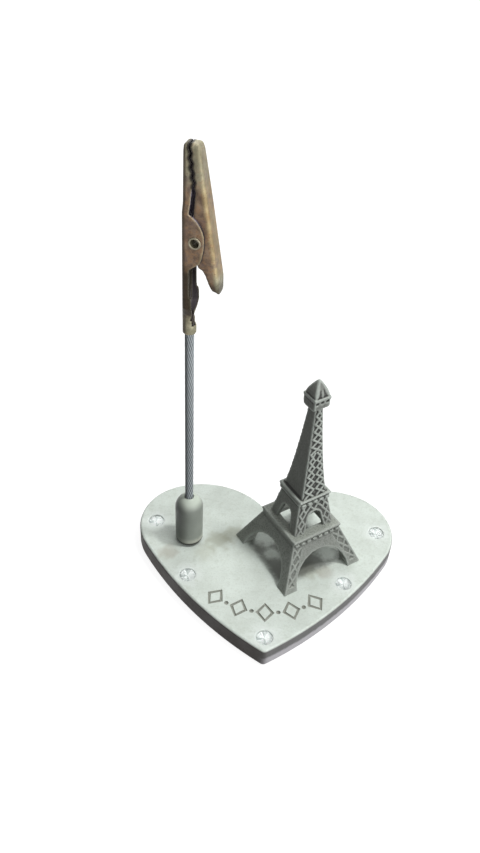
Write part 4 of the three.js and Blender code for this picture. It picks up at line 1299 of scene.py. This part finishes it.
def tower_tier(name, material, low, high, voxel, *tools):
    """Part of the tower between two heights, with some tools cut out of it."""
    tier = new_object(name, merged_copy("lattice_tower"))
    centre = middle("lattice_tower") / MM
    sizes = [2 * TOWER_REACH] * 3
    above = block("above", sizes, (centre.x, centre.y, high + TOWER_REACH))
    below = block("below", sizes, (centre.x, centre.y, low - TOWER_REACH))
    carve(tier, [above, below, *tools])
    soften(tier, voxel)
    mark_proud(tier, rounds=16)
    return dress(tier, material, "base", "tower", "lattice_tower")


def tower_figure(material):
    """Tower in two tiers, which meet on top of the first gallery."""
    low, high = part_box("lattice_tower")
    tower_tier("tower_legs", material, low.z / MM, GALLERY_TOP, LEGS_VOXEL, leg_hollow())
    tower_tier("tower_spire", material, GALLERY_TOP, high.z / MM, SPIRE_VOXEL)


# Clip
def pressed_jaw(name, node, other, body, material):
    """One half of the clip, with what its material needs to know of its bends and hidden places."""
    jaw = new_object(name, merged_copy(node))
    soften(jaw, JAW_VOXEL)
    mark_proud(jaw, rounds=10)
    mark_bend(jaw, (math.cos(CLIP_TURN), math.sin(CLIP_TURN), 0), rounds=50)
    mark_meeting(jaw, other, near=0.4, far=0.75)
    mark_inside(jaw, ("fixed_jaw", "lever_jaw"), reach=5)
    return dress(jaw, material, body, "clip", node)


def clip_place(x, y, z):
    """Place in the clip's own frame, in millimetres from the pivot, to the shared frame."""
    pivot = middle("pivot_rivet")
    return pivot + Matrix.Rotation(CLIP_TURN, 3, "Z") @ (Vector((x, y, z)) * MM)


def pivot_rivet(material):
    """Eyelet rivet: a tube with its ends rolled over the jaws."""
    bore = 0.76
    wall = 0.95
    lip = 1.14
    face = 2.35
    roll = 0.2
    lift = 0.02
    end = arc(((bore + lip) / 2, face + lift), (lip - bore) / 2, roll, math.pi, 0.0, steps=8)
    other_end = [(radius, -height) for radius, height in reversed(end)]
    profile = end + [(wall, face), (wall, -face)] + other_end
    rivet = new_object("eyelet_rivet", turned(profile, sides=64, closed=True))
    rivet.data.transform(Matrix.Rotation(math.pi / 2, 4, "X"))
    rivet.data.transform(Matrix.Translation(middle("pivot_rivet")) @ Matrix.Rotation(CLIP_TURN, 4, "Z"))
    smooth(rivet, angle=45)
    mark_inside(rivet, ("pivot_rivet",), reach=2)
    return dress(rivet, material, "base", "rivet", "pivot_rivet")


def spring_path(sweep, width):
    """Middle of the spring's wire in the clip's own frame: a leg, the coil, and the other leg."""
    path = []
    for i in range(COIL_STEPS + 1):
        angle = FIXED_LEG - sweep * i / COIL_STEPS
        across = width * (i / COIL_STEPS - 0.5)
        path.append(Vector((COIL_RADIUS * math.cos(angle), across, COIL_RADIUS * math.sin(angle))))
    path.insert(0, path[0] - SPRING_LEG * Vector((math.sin(FIXED_LEG), 0, -math.cos(FIXED_LEG))))
    path.append(path[-1] + SPRING_LEG * Vector((math.sin(LEVER_LEG), 0, -math.cos(LEVER_LEG))))
    return path


def round_wire(name, path, thickness):
    """Plain mesh of a round wire along a path."""
    curve = bpy.data.curves.new("wire_path", "CURVE")
    curve.dimensions = "3D"
    curve.bevel_depth = thickness / 2 * MM
    curve.bevel_resolution = 3
    curve.use_fill_caps = True
    spline = curve.splines.new("POLY")
    spline.points.add(len(path) - 1)
    for point, place in zip(spline.points, path):
        point.co = (*place, 1.0)
    holder = linked("wire_path", curve)
    mesh = plain_mesh(holder)
    bpy.data.objects.remove(holder)
    mesh.shade_smooth()
    return linked(name, mesh)


def torsion_spring(material):
    """Round wire: a leg on the fixed jaw, the coil, and a leg on the lever."""
    sweep = COIL_TURNS * FULL_TURN + FIXED_LEG - LEVER_LEG
    width = COIL_PITCH * sweep / FULL_TURN
    path = [clip_place(*place) for place in spring_path(sweep, width)]
    spring = round_wire("spring_coil", path, SPRING_WIRE)
    spring.data.materials.append(material)
    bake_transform(spring)
    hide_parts("torsion_spring")
    return spring


# Studio
def seen_directly(tree):
    """1 for what the camera, a mirror or glass sees, 0 for light on the object."""
    path = add(tree, "ShaderNodeLightPath").outputs
    glossy = maths(tree, "MAXIMUM", path["Is Camera Ray"], path["Is Glossy Ray"])
    return maths(tree, "MAXIMUM", glossy, path["Is Transmission Ray"])


def floor_material():
    """White to the camera with the object's shadow on it, and dull to the light."""
    material, tree = new_material("pale_floor")
    tree.nodes.clear()
    dull = add(tree, "ShaderNodeBsdfDiffuse", {"Color": FLOOR_DULL}).outputs[0]
    shaded = add(tree, "ShaderNodeBsdfDiffuse", {"Color": FLOOR_SHADED}).outputs[0]
    reach = vector_maths(tree, "LENGTH", object_place(tree))["Value"]
    strength = spread(tree, reach, FLOOR_NEAR, FLOOR_FAR, NEAR_WHITE, 1.0)
    bright = add(tree, "ShaderNodeEmission", {"Color": WHITE, "Strength": strength}).outputs[0]
    white = add(tree, "ShaderNodeAddShader", {0: shaded, 1: bright}).outputs[0]
    both = add(tree, "ShaderNodeMixShader", {0: seen_directly(tree), 1: dull, 2: white}).outputs[0]
    add(tree, "ShaderNodeOutputMaterial", {"Surface": both})
    return material


def pale_floor():
    bm = bmesh.new()
    bmesh.ops.create_grid(bm, x_segments=1, y_segments=1, size=FLOOR_REACH)
    floor = new_object("floor", bm)
    floor.data.materials.append(floor_material())


def white_world():
    """White to the camera and to mirrors, with a weak even light on the object."""
    world = bpy.data.worlds.new("studio")
    world.use_nodes = True
    tree = world.node_tree
    background = tree.nodes["Background"].inputs
    feed(tree, background["Color"], WHITE)
    feed(tree, background["Strength"], blend_value(tree, seen_directly(tree), AMBIENT, 1.0))
    bpy.context.scene.world = world


def soft_lamp(name, way, distance, size, level):
    """Square area lamp that lights a white surface facing it to the given level."""
    lamp = bpy.data.lights.new(name, "AREA")
    lamp.size = size
    lamp.energy = level * (math.pi * distance) ** 2
    holder = linked(name, lamp)
    aim = Vector(way).normalized()
    holder.location = Vector(LAMP_AIM) + aim * distance
    holder.rotation_euler = aim.to_track_quat("Z", "Y").to_euler()


def camera():
    """Camera of the fitted view, turned about Z, pitched down and rolled."""
    lens = bpy.data.cameras.new("camera")
    lens.sensor_fit = "VERTICAL"
    lens.sensor_height = SENSOR
    lens.lens = SENSOR * FOCAL_PIXELS / IMAGE_HEIGHT
    lens.clip_start = 0.005
    across = Vector((math.cos(CAMERA_AZIMUTH), -math.sin(CAMERA_AZIMUTH), 0))
    ahead = math.cos(CAMERA_PITCH) * Vector((math.sin(CAMERA_AZIMUTH), math.cos(CAMERA_AZIMUTH), 0))
    ahead.z = -math.sin(CAMERA_PITCH)
    up = across.cross(ahead)
    right = math.cos(CAMERA_ROLL) * across + math.sin(CAMERA_ROLL) * up
    top = -math.sin(CAMERA_ROLL) * across + math.cos(CAMERA_ROLL) * up
    turn = Matrix((right, top, -ahead)).transposed().to_4x4()
    holder = linked("camera", lens)
    holder.matrix_world = Matrix.Translation(Vector(CAMERA_PLACE) * MM) @ turn
    bpy.context.scene.camera = holder


def main():
    bpy.context.scene.view_settings.view_transform = "Standard"
    camera()
    pale_floor()
    white_world()
    for lamp in LAMPS:
        soft_lamp(*lamp)
    fixed_brass = aged_brass("fixed_brass", tail_shade=0.9, tip_shade=0.0)
    lever_brass = aged_brass("lever_brass", tail_shade=0.0, tip_shade=0.85)
    steel = spring_steel()
    heart_plate(plate_pewter(), seat_rim(), engraved_patina())
    glass = cut_glass()
    foil = silver_foil()
    for name in STONE_PLACES:
        cut_stone("stone_" + name, glass, foil)
    tower_figure(tower_pewter())
    stem_ferrule(satin_nickel())
    wire_rope(rope_wire())
    ferrule_screw(steel)
    pressed_jaw("jaw_with_crimp", "fixed_jaw", "lever_jaw", "base", fixed_brass)
    pressed_jaw("jaw_with_thumb", "lever_jaw", "fixed_jaw", "lever", lever_brass)
    pivot_rivet(eyelet_brass())
    torsion_spring(steel)


main()
